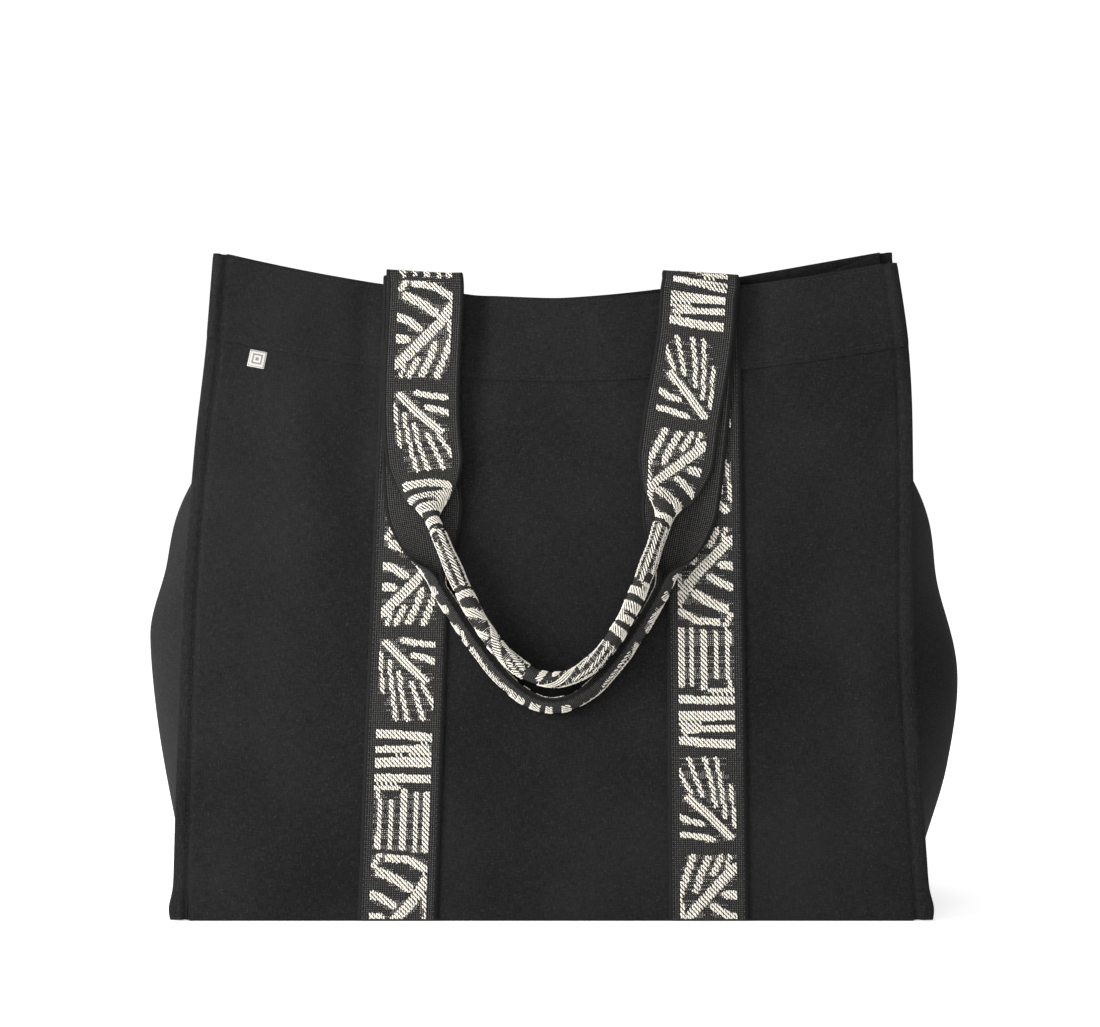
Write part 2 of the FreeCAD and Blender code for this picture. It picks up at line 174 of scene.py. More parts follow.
# where the pattern starts on each length, which way it runs, its squeeze across (minus mirrors) and along
SEWN_DRAWING = {("front", -1): (256.4, -1, 0.94, 1.0), ("front", 1): (-189.0, 1, -0.94, 1.0),
                ("back", -1): (-404.0, 1, 0.94, 1.0), ("back", 1): (250.0, -1, -0.94, 1.0)}
HANDLE_DRAWING = {"front": (-161.0, -1, 0.94, 1.0), "back": (-33.8, 1, 0.94, 0.977)}
STROKES = (
    # branching sweeps
    (((-12, 1), (-15.5, 8)), 3.6),
    (((-7, 3), (5, 4), (15.5, 10)), 5.4),
    (((-12, 12), (-2, 16.5), (6, 22)), 6.6),
    (((-16, 26.5), (-10, 28.5), (-3.5, 33)), 5.8),
    (((-16.5, 40.5), (-11, 41)), 6.2),
    (((16.5, 17), (9, 30), (-3, 44), (-16, 58)), 6.4),
    (((16, 28), (17.5, 39), (13, 53), (9, 65)), 4.2),
    (((7.5, 43), (4.5, 53), (0, 64)), 4.3),
    (((-3, 54), (-8, 65)), 3.8),
    (((-11.5, 59), (-13, 65.5)), 3),
    # fan of leaves
    (((-2.5, 76), (3, 77.5), (15, 79)), 4.5),
    (((3.5, 86), (10, 87.5), (19, 91)), 4.7),
    (((-13, 78), (-6.5, 85), (0, 92), (11, 102)), 5.5),
    (((-16.5, 84), (-15.5, 94), (-14, 111)), 2.6),
    (((-10.5, 90), (-9, 105), (-5.5, 128)), 3),
    (((-4.5, 97), (-3, 109), (1.5, 128)), 3.2),
    (((3, 104), (6.5, 114), (11, 128)), 3.4),
    (((10, 106), (14, 113), (17.5, 121)), 3.2),
    # level bars
    (((-17, 137), (0, 138), (18, 140)), 6.2),
    (((-17, 147.5), (4, 147), (13, 146)), 5),
    (((5, 150), (19, 150)), 2.6),
    (((-19, 156), (-4, 155.5), (19.5, 155.5)), 6.8),
    (((-18, 165.5), (0, 166), (17, 166.5)), 5.8),
    (((-16, 172), (-3, 172)), 3.6),
    (((-14.5, 174), (-14.5, 178)), 3),
    # upright bars
    (((-13, 181), (-13.5, 210)), 4),
    (((-6, 181), (-6, 210.5)), 3.4),
    (((1.5, 174), (1.5, 211)), 3.6),
    (((8.5, 176), (8.5, 212.5)), 3.6),
    (((15, 176), (15, 212.5)), 3.8),
)


# ---- shape of the cloth

def ease(t):
    t = np.clip(t, 0.0, 1.0)
    return t * t * (3 - 2 * t)


def mix(a, b, w):
    return a + (b - a) * w


def through(stations, t):
    """Smooth value at t through given stations (t, value)."""
    knots = np.array(stations, float)
    k, v = knots[:, 0], knots[:, 1]
    t = np.clip(t, k[0], k[-1])
    n = np.clip(np.searchsorted(k, t) - 1, 0, len(k) - 2)
    before, after = np.maximum(n - 1, 0), np.minimum(n + 2, len(k) - 1)
    h = k[n + 1] - k[n]
    slope_a = (v[n + 1] - v[before]) / (k[n + 1] - k[before]) * h
    slope_b = (v[after] - v[n]) / (k[after] - k[n]) * h
    w = (t - k[n]) / h
    return (v[n] * (2 * w**3 - 3 * w**2 + 1) + slope_a * (w**3 - 2 * w**2 + w)
            + v[n + 1] * (3 * w**2 - 2 * w**3) + slope_b * (w**3 - w**2))


def unit(v):
    return v / np.maximum(np.linalg.norm(v, axis=-1, keepdims=True), 1e-12)


def rim_height(x, back=False):
    out = np.abs(x) / CORNER_X
    height = RIM_MIDDLE + np.where(np.asarray(x) > 0, RIM_LIFT[1], RIM_LIFT[-1]) * out**1.7
    if back:
        height = height + BACK_RIM_EXTRA * ease((x + 60) / 290)
    return height


def pushed_out(x, z, back):
    """How far the soft folds lift the canvas."""
    total = np.zeros(np.broadcast(x, z).shape)
    for points, first, last, width in (BACK_FOLDS if back else FRONT_FOLDS):
        best = np.full(total.shape, 1e9)
        height = np.zeros(total.shape)
        runs = len(points) - 1
        for n in range(runs):
            (ax, az), (bx, bz) = points[n], points[n + 1]
            dx, dz = bx - ax, bz - az
            t = np.clip(((x - ax) * dx + (z - az) * dz) / (dx * dx + dz * dz), 0, 1)
            away = np.hypot(x - ax - t * dx, z - az - t * dz)
            nearer = away < best
            best = np.where(nearer, away, best)
            height = np.where(nearer, mix(first, last, (n + t) / runs), height)
        total = total + height * np.exp(-(best / width)**2)
    # the snap shows through as a ring round a soft dome
    ring = np.hypot(x - SNAP_X, z - SNAP_HEIGHT)
    total = total + 0.45 * np.exp(-((ring - SNAP_RADIUS) / 2.6)**2) + 0.5 * np.exp(-(ring / 8.0)**2)
    # faint waves over the whole cloth, which die out at the floor and at the corner seams
    total = total + 0.35 * np.sin(x / 31 + z / 57) * np.sin(z / 43 - x / 71)
    return total * ease(z / 30) * ease((233 - np.abs(x)) / 26)


def panel_point(x, z, back=False):
    rise = z / RIM_MIDDLE
    bow = BASE_HALF_DEPTH - MOUTH_HALF - LEAN_AT_BASE * RIM_MIDDLE
    y = -BASE_HALF_DEPTH + LEAN_AT_BASE * z + bow * rise**2
    spread = CORNER_SPREAD * ease((z - 240) / 170) - 5.0 * np.sin(math.pi * np.minimum(1, z / 330))
    y = y - spread * (np.abs(x) / 240)**2.4 - pushed_out(x, z, back)
    x, y, z = np.broadcast_arrays(x, -y if back else y, z)
    return np.stack([x, y, z], axis=-1).astype(float)


def off_panel(x, z, offset, back=False):
    """Point at an offset outside the front or back panel."""
    step = 0.5
    across = panel_point(x + step, z, back) - panel_point(x - step, z, back)
    up = panel_point(x, z + step, back) - panel_point(x, z - step, back)
    normal = unit(np.cross(across, up)) * (-1 if back else 1)
    return panel_point(x, z, back) + normal * np.asarray(offset)[..., None]


def panel_normal(x, z, back=False):
    return off_panel(x, z, 1.0, back) - panel_point(x, z, back)


def panel_edge(side, z):
    return side * (through(HALF_WIDTH[side], z) - SEAM_DEPTH)


def strap_x(side, z):
    low, high = STRAP_X[side]
    return mix(low, high, z / RIM_MIDDLE)


def strap_rim(side, back=False):
    return float(rim_height(strap_x(side, RIM_MIDDLE), back))


def panel_grid(back, offset, across, along, depth=0.0):
    """Rows of points over a whole panel, or over its top strip when depth is set."""
    columns = np.linspace(0, 1, across)
    if depth:
        # closer columns at the two ends, where the band bends over the corner seams
        close = np.linspace(0, 0.03, 14)
        columns = np.concatenate([close[:-1], np.linspace(0.03, 0.97, across - 26), 1 - close[-2::-1]])
    u, v = np.meshgrid(columns, np.linspace(0, 1, along))
    corner_top = np.where(u < 0.5, rim_height(-CORNER_X, back), rim_height(CORNER_X, back))
    top = rim_height(mix(-CORNER_X, CORNER_X, u), back)
    z = mix(top - depth if depth else LOWEST, top, v)
    edge_height = z * corner_top / top
    left, right = panel_edge(-1, edge_height), panel_edge(1, edge_height)
    reach = HEM_REACH if depth else PANEL_REACH
    x = mix(left - reach, right + reach, u)
    lift = np.full(x.shape, offset)
    if depth:
        # the band runs on over the corner seams, sinks beside them and swells over them
        beyond = np.maximum(left - x, x - right)
        lift = lift + 0.9 * np.exp(-((beyond - 4.6) / 2.6)**2) - 0.5 * np.exp(-(beyond / 2.2)**2)
        lift = lift - 0.9 * ease((beyond - 6.5) / 2.4)
    return off_panel(x, z, lift, back)


def gusset_grid(side, across, along, depth=0.0):
    """Rows of points over a gusset, front to back, bulging low down and folded inward above."""
    u, v = np.meshgrid(np.linspace(-1, 1, across), np.linspace(0, 1, along))
    s = u * (0.35 + 0.65 * np.abs(u))
    tops = [float(rim_height(side * CORNER_X, back)) for back in (False, True)]
    z_front, z_back = (mix(top - depth if depth else LOWEST, top, v) for top in tops)
    z = mix(z_front, z_back, (s + 1) / 2)
    edge = panel_edge(side, z)
    y_front = panel_point(edge, z)[..., 1] + GUSSET_GAP
    y_back = panel_point(edge, z, True)[..., 1] - GUSSET_GAP
    out = through(GUSSET_OUT[side], z) * (1 - s * s)
    deep = through(GUSSET_IN, z)
    root = np.sqrt(s * s + FOLD_SOFTNESS**2)
    fold = deep * (math.sqrt(1 + FOLD_SOFTNESS**2) - root)
    middle, half = (y_front + y_back) / 2, (y_back - y_front) / 2
    tip = FOLD_TIP * ease(deep / 40)
    y = middle + (half - tip) * s + tip * s / root * math.sqrt(1 + FOLD_SOFTNESS**2)
    sag = GUSSET_SAG * ease((z - 330) / 90) * (1 - s * s)
    creases = (1.6 * np.sin(z / 19 + 1.3 * s) * np.exp(-((z - 245) / 60)**2)
               + 1.1 * np.sin(s * 4 + z / 34)) * (1 - s * s) * ease(z / 40)
    x = edge + side * (out - fold + creases)
    return np.stack([x, y, z - sag], axis=-1)


def normals_of(points):
    """Unit normals of a grid of points, rows first."""
    return unit(np.cross(np.gradient(points, axis=1), np.gradient(points, axis=0)))


# ---- meshes

def finish_mesh(name, verts, faces, material, uv=None, sharp=40):
    mesh = bpy.data.meshes.new(name)
    mesh.from_pydata((np.asarray(verts) * MM).tolist(), [], [tuple(int(i) for i in f) for f in faces])
    mesh.materials.append(material)
    if uv is not None:
        layer = mesh.uv_layers.new(name="cloth")
        corner = np.empty(len(mesh.loops), np.int32)
        mesh.loops.foreach_get("vertex_index", corner)
        layer.data.foreach_set("uv", (np.asarray(uv, float)[corner] * MM).ravel())
    mesh.validate()
    mesh.shade_smooth()
    mesh.set_sharp_from_angle(angle=math.radians(sharp))
    piece = bpy.data.objects.new(name, mesh)
    bpy.context.scene.collection.objects.link(piece)
    return piece


def lengths(points):
    """Distance along a line of points, at each of them."""
    return np.concatenate([[0], np.cumsum(np.linalg.norm(np.diff(points, axis=0), axis=1))])


def flat_sizes(points):
    """Distances across and along the middle of a grid; those across are centred."""
    across = lengths(points[len(points) // 2])
    return across - across[-1] / 2, lengths(points[:, points.shape[1] // 2])


def cloth(name, points, low, high, material, uv=None, turned=False):
    """Closed sheet with rounded edges, between two offsets of a grid of points."""
    rows, columns = points.shape[:2]
    normal = normals_of(points) * (-1 if turned else 1)
    if uv is None:
        uv = np.stack(np.meshgrid(*flat_sizes(points)), axis=-1)
    index = np.arange(rows * columns).reshape(rows, columns)
    border = np.concatenate([index[0, :-1], index[:-1, -1], index[-1, :0:-1], index[:0:-1, 0]])
    flat = points.reshape(-1, 3)
    out = np.zeros_like(points)
    out[0], out[-1] = points[0] - points[1], points[-1] - points[-2]
    out[:, 0] = out[:, 0] + points[:, 0] - points[:, 1]
    out[:, -1] = out[:, -1] + points[:, -1] - points[:, -2]
    middle = (low + high) / 2
    edge = flat[border] + (normal * middle + unit(out) * (high - low) * EDGE_ROUND).reshape(-1, 3)[border]
    upper_side, lower_side = points + normal * high, points + normal * low
    verts = np.concatenate([upper_side.reshape(-1, 3), lower_side.reshape(-1, 3), edge])
    count = rows * columns
    corners = (index[:-1, :-1], index[:-1, 1:], index[1:, 1:], index[1:, :-1])
    top = np.stack([corner.ravel() for corner in corners], axis=1)
    bottom = top[:, ::-1] + count
    ring = 2 * count + np.arange(len(border))
    following = np.roll(border, -1)
    upper = np.stack([border, ring, np.roll(ring, -1), following], axis=1)
    lower = np.stack([ring, border + count, following + count, np.roll(ring, -1)], axis=1)
    faces = np.concatenate([top, bottom, upper, lower])
    if turned:
        faces = faces[:, ::-1]
    flat_uv = uv.reshape(-1, 2)
    return finish_mesh(
        name, verts, faces, material, np.concatenate([flat_uv, flat_uv, flat_uv[border]]), sharp=60)


def tube_faces(count, around, turned=False):
    """Faces of a closed tube, where each ring of points follows the one before."""
    faces = []
    for i in range(count - 1):
        for j in range(around):
            k = (j + 1) % around
            faces.append((i * around + j, i * around + k, (i + 1) * around + k, (i + 1) * around + j))
    faces.append(tuple(range(around))[::-1])
    faces.append(tuple((count - 1) * around + j for j in range(around)))
    return [face[::-1] for face in faces] if turned else faces


class Band:
    """A length of webbing: rows of points across it, and how far along and how gathered each row is."""

    def __init__(self, points, along, gathered, outward, sign=1):
        self.points = points
        self.along = along
        self.gathered = gathered
        self.sign = sign
        self.normal = normals_of(points) * outward

    def at(self, across, along):
        """Point, direction along and outward normal at a place on the webbing."""
        row = np.interp(along, self.along, np.arange(len(self.along)))
        i = min(int(row), len(self.along) - 2)
        w = row - i
        share = (across / HALF_WEBBING + 1) / 2 * (self.points.shape[1] - 1)
        j = int(np.clip(share, 0, self.points.shape[1] - 2))
        h = share - j

        def blend(grid):
            return mix(mix(grid[i, j], grid[i, j + 1], h), mix(grid[i + 1, j], grid[i + 1, j + 1], h), w)

        steps = self.points[i + 1, j:j + 2] - self.points[i, j:j + 2]
        return blend(self.points), unit(mix(steps[0], steps[1], h)), unit(blend(self.normal))


def sewn_band(side, back):
    """Webbing sewn flat up a panel: its points and the distance along its middle."""
    top = strap_rim(side, back) + (0.2 if back else 1.5)
    shares = np.linspace(-HALF_WEBBING, HALF_WEBBING, 21)
    z, share = np.meshgrid(np.linspace(LOWEST, top, 150), shares, indexing="ij")
    x = strap_x(side, z) + (-share if back else share)
    below = rim_height(x, back) - z
    offset = mix(SEWN_OVER_HEM, SEWN_LOW, ease((below - 58) / 12))
    points = np.stack([x, off_panel(x, z, offset, back)[..., 1], z], axis=-1)
    return points, lengths(points[:, len(shares) // 2])


def lean(x, z, back=False):
    """Direction up the slope of a panel, with no sideways part."""
    up = panel_point(x, z + 1, back) - panel_point(x, z - 1, back)
    up[0] = 0
    return unit(up)


def along_knees(points, radius, samples):
    """Points along straight runs with rounded knees."""
    path = [points[0]]
    for before, corner, after in zip(points, points[1:], points[2:]):
        one, two = unit(before - corner), unit(after - corner)
        half = math.acos(float(np.clip(one @ two, -1, 1))) / 2
        reach = radius / math.tan(half)
        centre = corner + unit(one + two) * (radius / math.sin(half))
        a, b = corner + one * reach - centre, corner + two * reach - centre
        angle = math.pi - 2 * half
        for n in range(samples + 1):
            t = n / samples
            path.append(centre + (a * math.sin((1 - t) * angle) + b * math.sin(t * angle)) / math.sin(angle))
    path.append(points[-1])
    return np.array(path)


def fold_path(handle, side):
    """Middle line of a handle's fold, from the bag over to the free strap."""
    x = float(strap_x(side, RIM_MIDDLE))
    rim = strap_rim(side)
    if handle == "front":
        up = lean(x, rim)
        inner = off_panel(x, rim, SEWN_OVER_HEM) + up * 1.8
        outer = off_panel(x, rim, HANDLE_OFFSET["front"][0]) + up * 1.8
        rise = up * (FRONT_FOLD_RISE + FOLD_RADIUS - 1.8)
        knees = [inner, inner + rise, outer + rise, outer]
        radius = FOLD_RADIUS - 0.02
    else:
        back_rim = strap_rim(side, True)
        top = rim + BACK_FOLD_RISE
        up_back, up_front = lean(x, back_rim, True), lean(x, rim)
        start = off_panel(x, back_rim, SEWN_OVER_HEM, True) + up_back * 0.5
        stop = off_panel(x, rim, HANDLE_OFFSET["back"][0]) + up_front * 1.4
        knees = [start, start + up_back * ((top - start[2]) / up_back[2]),
                 stop + up_front * ((top - stop[2]) / up_front[2]), stop]
        radius = BACK_KNEE
    for n, knee in enumerate(knees):
        knee[0] = x + (BACK_TOP_SHIFT[side] * n / 3 if handle == "back" else 0.0)
    return along_knees(knees, radius, 8)


def strap_path(handle, side):
    """Middle line of a free strap from the fold down to the grip, and how far it is rolled."""
    start, stop = PINCH[handle]
    level = np.linspace(strap_rim(side) - 3, stop + 2, 40)
    x = through(FREE_STRAP_X[handle, side], level)
    if handle == "back":
        x = x + BACK_TOP_SHIFT[side] * ease((level - 330) / 90)
    near, far = HANDLE_OFFSET[handle]
    rolled = ease((start - level) / (start - stop))
    offset = mix(near, far, ease((rim_height(x) - level - 10) / 70))
    offset = offset + rolled * (GRIP_ROUTE[handle][0][2] - far)
    middle = off_panel(x, level, offset)
    middle[:, 0] = x
    middle[:, 2] = level
    return middle, rolled


def smooth_route(knots, step):
    """Quadratic spline over rows of knots, sampled evenly by the length of their first three values."""
    middles = (knots[1:] + knots[:-1]) / 2
    pieces = [knots[:1]]
    t = np.linspace(0, 1, 12)[:, None]
    for n in range(1, len(knots) - 1):
        a, b, c = middles[n - 1], knots[n], middles[n]
        pieces.append(a * (1 - t)**2 + 2 * b * t * (1 - t) + c * t**2)
    pieces.append(knots[-1:])
    fine = np.concatenate(pieces)
    run = lengths(fine[:, :3])
    even = np.linspace(0, run[-1], int(run[-1] / step) + 1)
    return np.stack([np.interp(even, run, fine[:, n]) for n in range(fine.shape[1])], axis=1), even


def handle_rows(handle):
    """Rows of centre, outward direction and rolled share along a whole handle, and the distance along it."""
    halves = []
    for side in (-1, 1):
        fold = fold_path(handle, side)
        strap, rolled = strap_path(handle, side)
        fold_out = np.cross(unit(np.gradient(fold, axis=0)) * (-side), np.array([-side, 0.0, 0.0]))
        strap_out = panel_normal(strap[:, 0], strap[:, 2])
        halves.append(np.concatenate([
            np.concatenate([fold, fold_out, np.zeros((len(fold), 1))], axis=1),
            np.concatenate([strap, strap_out, rolled[:, None]], axis=1)]))
    x, z, offset = np.array(GRIP_ROUTE[handle]).T
    grip = np.concatenate([off_panel(x, z, offset), panel_normal(x, z), np.ones((len(x), 1))], axis=1)
    return smooth_route(np.concatenate([halves[0], grip, halves[1][::-1]]), 1.5)


def rolled_section(handle, even, rolled, tangent, share):
    """Half width, sideways place and outward place of the webbing's points, row by row."""
    w = rolled[:, None]
    closed = math.pi * 0.985 * np.maximum(w, 1e-4)**0.75
    half = mix(HALF_WEBBING, GATHERED_HALF, w)
    radius = half / closed
    turn = share * closed
    visible = radius * np.sin(np.minimum(closed, math.pi / 2))
    lumps = 1 + 0.05 * w * np.sin(even / 4.1)[:, None] + 0.04 * w * np.sin(even / 9.7 + 1)[:, None]
    slim = GRIP_HALF[handle] * (1 - 0.16 * np.abs(tangent[:, :1])) * lumps
    if handle == "back":
        # the stitching pulls the left end of the grip into a thin neck
        neck = even[np.argmax(rolled > FULLY_ROLLED)] + 5
        slim = slim * (1 - 0.2 * np.exp(-((even - neck) / 13)**2)[:, None])
    sideways = radius * np.sin(turn) * mix(HALF_WEBBING, slim, w) / visible
    depth = radius * (1 - np.cos(closed))
    wanted = GRIP_DEPTH * w**1.2
    back_off = radius * (1 - np.cos(turn)) * wanted / depth
    if handle == "front":
        # the seam is rolled a little towards the inside of the loop
        spin = math.radians(24) * w**3
        flat, deep = sideways, wanted / 2 - back_off
        sideways = flat * np.cos(spin) - deep * np.sin(spin)
        back_off = wanted / 2 - (deep * np.cos(spin) + flat * np.sin(spin))
    return half[:, 0], sideways, wanted / 2 - back_off


def handle_band(handle):
    """Webbing of a whole handle: flat over the rim, rolled into a round grip, and flat again."""
    rows, even = handle_rows(handle)
    centre, rolled = rows[:, :3], np.clip(rows[:, 6], 0, 1)
    tangent = unit(np.gradient(centre, axis=0))
    out = rows[:, 3:6]
    out = unit(out - tangent * np.sum(out * tangent, axis=1, keepdims=True))
    lateral = np.cross(out, tangent)
    if handle == "back":
        tilt = BACK_TOP_TILT * ease((centre[:, 2] - 385) / 30)[:, None]
        lateral = lateral * np.cos(tilt) - np.array([0.0, 0.0, 1.0]) * np.sin(tilt) * np.sign(lateral[:, :1])
    share = np.linspace(-1, 1, 41)[None, :]
    half, sideways, outward = rolled_section(handle, even, rolled, tangent, share)
    points = (centre[:, None, :] + lateral[:, None, :] * sideways[..., None]
              + out[:, None, :] * (FACE[handle] * outward)[..., None])
    # the edges run a little behind the middle where the webbing is drawn in
    inward = np.where(even < even[-1] / 2, 1.0, -1.0)[:, None]
    lag = 5.0 * share**2 * np.sin(math.pi * rolled[:, None])**1.5 * inward
    points = points + tangent[:, None, :] * lag[..., None]
    return points, even, half / HALF_WEBBING, centre, rolled


# ---- node trees, and threads laid by geometry nodes

class Nodes:
    """Short ways of adding nodes to a tree."""

    def __init__(self, tree):
        self.new = tree.nodes.new
        self.link = tree.links.new

    def feed(self, node, inputs):
        """Sets a node's inputs, each to a value or to another node's output."""
        for socket, value in inputs.items():
            if isinstance(value, bpy.types.NodeSocket):
                self.link(value, node.inputs[socket])
            else:
                node.inputs[socket].default_value = value

    def add(self, kind, output, inputs, **settings):
        """One output of a new node."""
        node = self.new(kind)
        for name, value in settings.items():
            setattr(node, name, value)
        self.feed(node, inputs)
        return node.outputs[output]

    def group(self, title, builder, inputs):
        """All outputs of a node group, which is built at its first use."""
        node = self.new("ShaderNodeGroup")
        node.node_tree = bpy.data.node_groups.get(title) or builder(title)
        self.feed(node, inputs)
        return node.outputs

    def math(self, kind, *values):
        return self.add("ShaderNodeMath", 0, dict(enumerate(values)), operation=kind)

    def times(self, a, b):
        return self.math("MULTIPLY", a, b)

    def wave(self, value):
        """Sine that crosses zero at every whole number."""
        return self.math("SINE", self.times(value, math.pi))

    def place(self, kind):
        return self.add("ShaderNodeTexCoord", kind, {})

    def split(self, place):
        node = self.new("ShaderNodeSeparateXYZ")
        self.link(place, node.inputs[0])
        return node.outputs

    def noise(self, place, scale, inputs=None, dimensions="3D"):
        given = {"Vector": place, "Scale": scale, **(inputs or {})}
        return self.add("ShaderNodeTexNoise", "Fac", given, noise_dimensions=dimensions)

    def span(self, value, start, stop, low=0.0, high=1.0):
        """A value's range from start to stop spread over low to high."""
        return self.add("ShaderNodeMapRange", "Result", {
            "Value": value, "From Min": start, "From Max": stop, "To Min": low, "To Max": high})

    def colour(self, factor, low, high):
        """Colour between two, each a colour or the output of a node."""
        ends = [(*end, 1) if isinstance(end, tuple) else end for end in (low, high)]
        inputs = {"Factor": factor, "A": ends[0], "B": ends[1]}
        return self.add("ShaderNodeMix", "Result", inputs, data_type="RGBA")

    def dent(self, height, strength, distance):
        return self.add("ShaderNodeBump", "Normal", {
            "Height": height, "Strength": strength, "Distance": distance})


def group_sockets(group, inputs, outputs):
    """Adds a node group's sockets and returns its input's outputs and its output node."""
    for name, kind, value in inputs:
        socket = group.interface.new_socket(name, in_out="INPUT", socket_type=kind)
        if value is not None:
            socket.default_value = value
    for name, kind in outputs:
        group.interface.new_socket(name, in_out="OUTPUT", socket_type=kind)
    return group.nodes.new("NodeGroupInput").outputs, group.nodes.new("NodeGroupOutput")


def laid_threads(title):
    """Node tree that lays one rounded thread on each point, along its own direction."""
    group = bpy.data.node_groups.new(title, "GeometryNodeTree")
    given, result = group_sockets(
        group,
        (("Points", "NodeSocketGeometry", None), ("Lift", "NodeSocketFloat", 0.0004),
         ("Unevenness", "NodeSocketFloat", 0.1), ("Seed", "NodeSocketInt", 3),
         ("Thread Material", "NodeSocketMaterial", None)),
        (("Threads", "NodeSocketGeometry"),))
    tree = Nodes(group)

    def named(name, kind):
        return tree.add("GeometryNodeInputNamedAttribute", "Attribute", {"Name": name}, data_type=kind)

    grain = tree.add("GeometryNodeMeshUVSphere", "Mesh", {"Segments": 5, "Rings": 4, "Radius": 1.0})
    aim = tree.add(
        "FunctionNodeAxesToRotation", "Rotation",
        {"Primary Axis": named("lie", "FLOAT_VECTOR"), "Secondary Axis": named("face", "FLOAT_VECTOR")},
        primary_axis="Z", secondary_axis="X")
    # inputs 2 and 3 of the random value are its least and most, and its output 1 is a number
    least, most = (tree.math(kind, 1.0, given["Unevenness"]) for kind in ("SUBTRACT", "ADD"))
    limits = {2: least, 3: most, "Seed": given["Seed"]}
    uneven = tree.add("FunctionNodeRandomValue", 1, limits, data_type="FLOAT")
    size = tree.add("ShaderNodeCombineXYZ", "Vector", {
        "X": tree.times(given["Lift"], uneven),
        "Y": tree.times(named("half_width", "FLOAT"), uneven),
        "Z": named("half_length", "FLOAT")})
    laid = tree.add("GeometryNodeInstanceOnPoints", "Instances", {
        "Points": given["Points"], "Instance": grain, "Rotation": aim, "Scale": size})
    whole = tree.add("GeometryNodeRealizeInstances", "Geometry", {"Geometry": laid})
    dyed = tree.add("GeometryNodeSetMaterial", "Geometry", {
        "Geometry": whole, "Material": given["Thread Material"]})
    tree.link(dyed, result.inputs["Threads"])
    return group


def lay_threads(name, carriers, material, lift, unevenness=0.1, seed=3):
    """Plain mesh of threads; each carrier is (place, direction, outward, half length, half width, tone)."""
    mesh = bpy.data.meshes.new(name)
    mesh.from_pydata([tuple(c[0] * MM) for c in carriers], [], [])
    for title, column in (("lie", 1), ("face", 2)):
        layer = mesh.attributes.new(title, "FLOAT_VECTOR", "POINT")
        layer.data.foreach_set("vector", np.array([c[column] for c in carriers], np.float32).ravel())
    for title, column, scale in (("half_length", 3, MM), ("half_width", 4, MM), ("tone", 5, 1.0)):
        layer = mesh.attributes.new(title, "FLOAT", "POINT")
        layer.data.foreach_set("value", np.array([c[column] * scale for c in carriers], np.float32))
    carrier = bpy.data.objects.new(name + "_points", mesh)
    bpy.context.scene.collection.objects.link(carrier)
    tree = bpy.data.node_groups.get("laid_threads") or laid_threads("laid_threads")
    layer = carrier.modifiers.new("threads", "NODES")
    layer.node_group = tree
    values = {"Lift": lift * MM, "Unevenness": unevenness, "Seed": seed, "Thread Material": material}
    for item in tree.interface.items_tree:
        if item.in_out == "INPUT" and item.name in values:
            layer[item.identifier] = values[item.name]
    graph = bpy.context.evaluated_depsgraph_get()
    threads = bpy.data.meshes.new_from_object(carrier.evaluated_get(graph), depsgraph=graph)
    threads.name = name
    for title in ("lie", "face", "half_length", "half_width"):
        if title in threads.attributes:
            threads.attributes.remove(threads.attributes[title])
    threads.shade_smooth()
    bpy.data.objects.remove(carrier)
    piece = bpy.data.objects.new(name, threads)
    bpy.context.scene.collection.objects.link(piece)
    return piece


def stitch_row(points, outs, pitch, length=2.5, width=0.32):
    """Carriers of a row of stitches along a line of points."""
    run = lengths(points)
    rng = random.Random(len(points))

    def on_line(values, at):
        return np.array([np.interp(at, run, values[:, k]) for k in range(3)])

    carriers = []
    for n in range(max(1, int(run[-1] / pitch))):
        at = (n + 0.5) * pitch
        along = unit(on_line(points, at + 0.8) - on_line(points, at - 0.8))
        carriers.append((on_line(points, at), along, unit(on_line(outs, at)), length / 2, width, rng.random()))
    return carriers


def stroke_map():
    """One repeat of the pattern as rows of light and dark cells."""
    across, along = np.meshgrid(np.arange(-PATTERN_HALF, PATTERN_HALF, CELL), np.arange(0, REPEAT, CELL))
    light = np.zeros(across.shape, bool)
    for points, width in STROKES:
        for (ax, ay), (bx, by) in zip(points, points[1:]):
            dx, dy = bx - ax, by - ay
            t = np.clip(((across - ax) * dx + (along - ay) * dy) / (dx * dx + dy * dy), 0, 1)
            light |= np.hypot(across - ax - t * dx, along - ay - t * dy) < width / 2 - 0.12
    return light


LIGHT_CELLS = stroke_map()


def in_stroke(across, along):
    """Whether this place on the webbing is woven light."""
    row = int(along % REPEAT / CELL) % LIGHT_CELLS.shape[0]
    column = int((across + PATTERN_HALF) / CELL)
    return 0 <= column < LIGHT_CELLS.shape[1] and bool(LIGHT_CELLS[row, column])


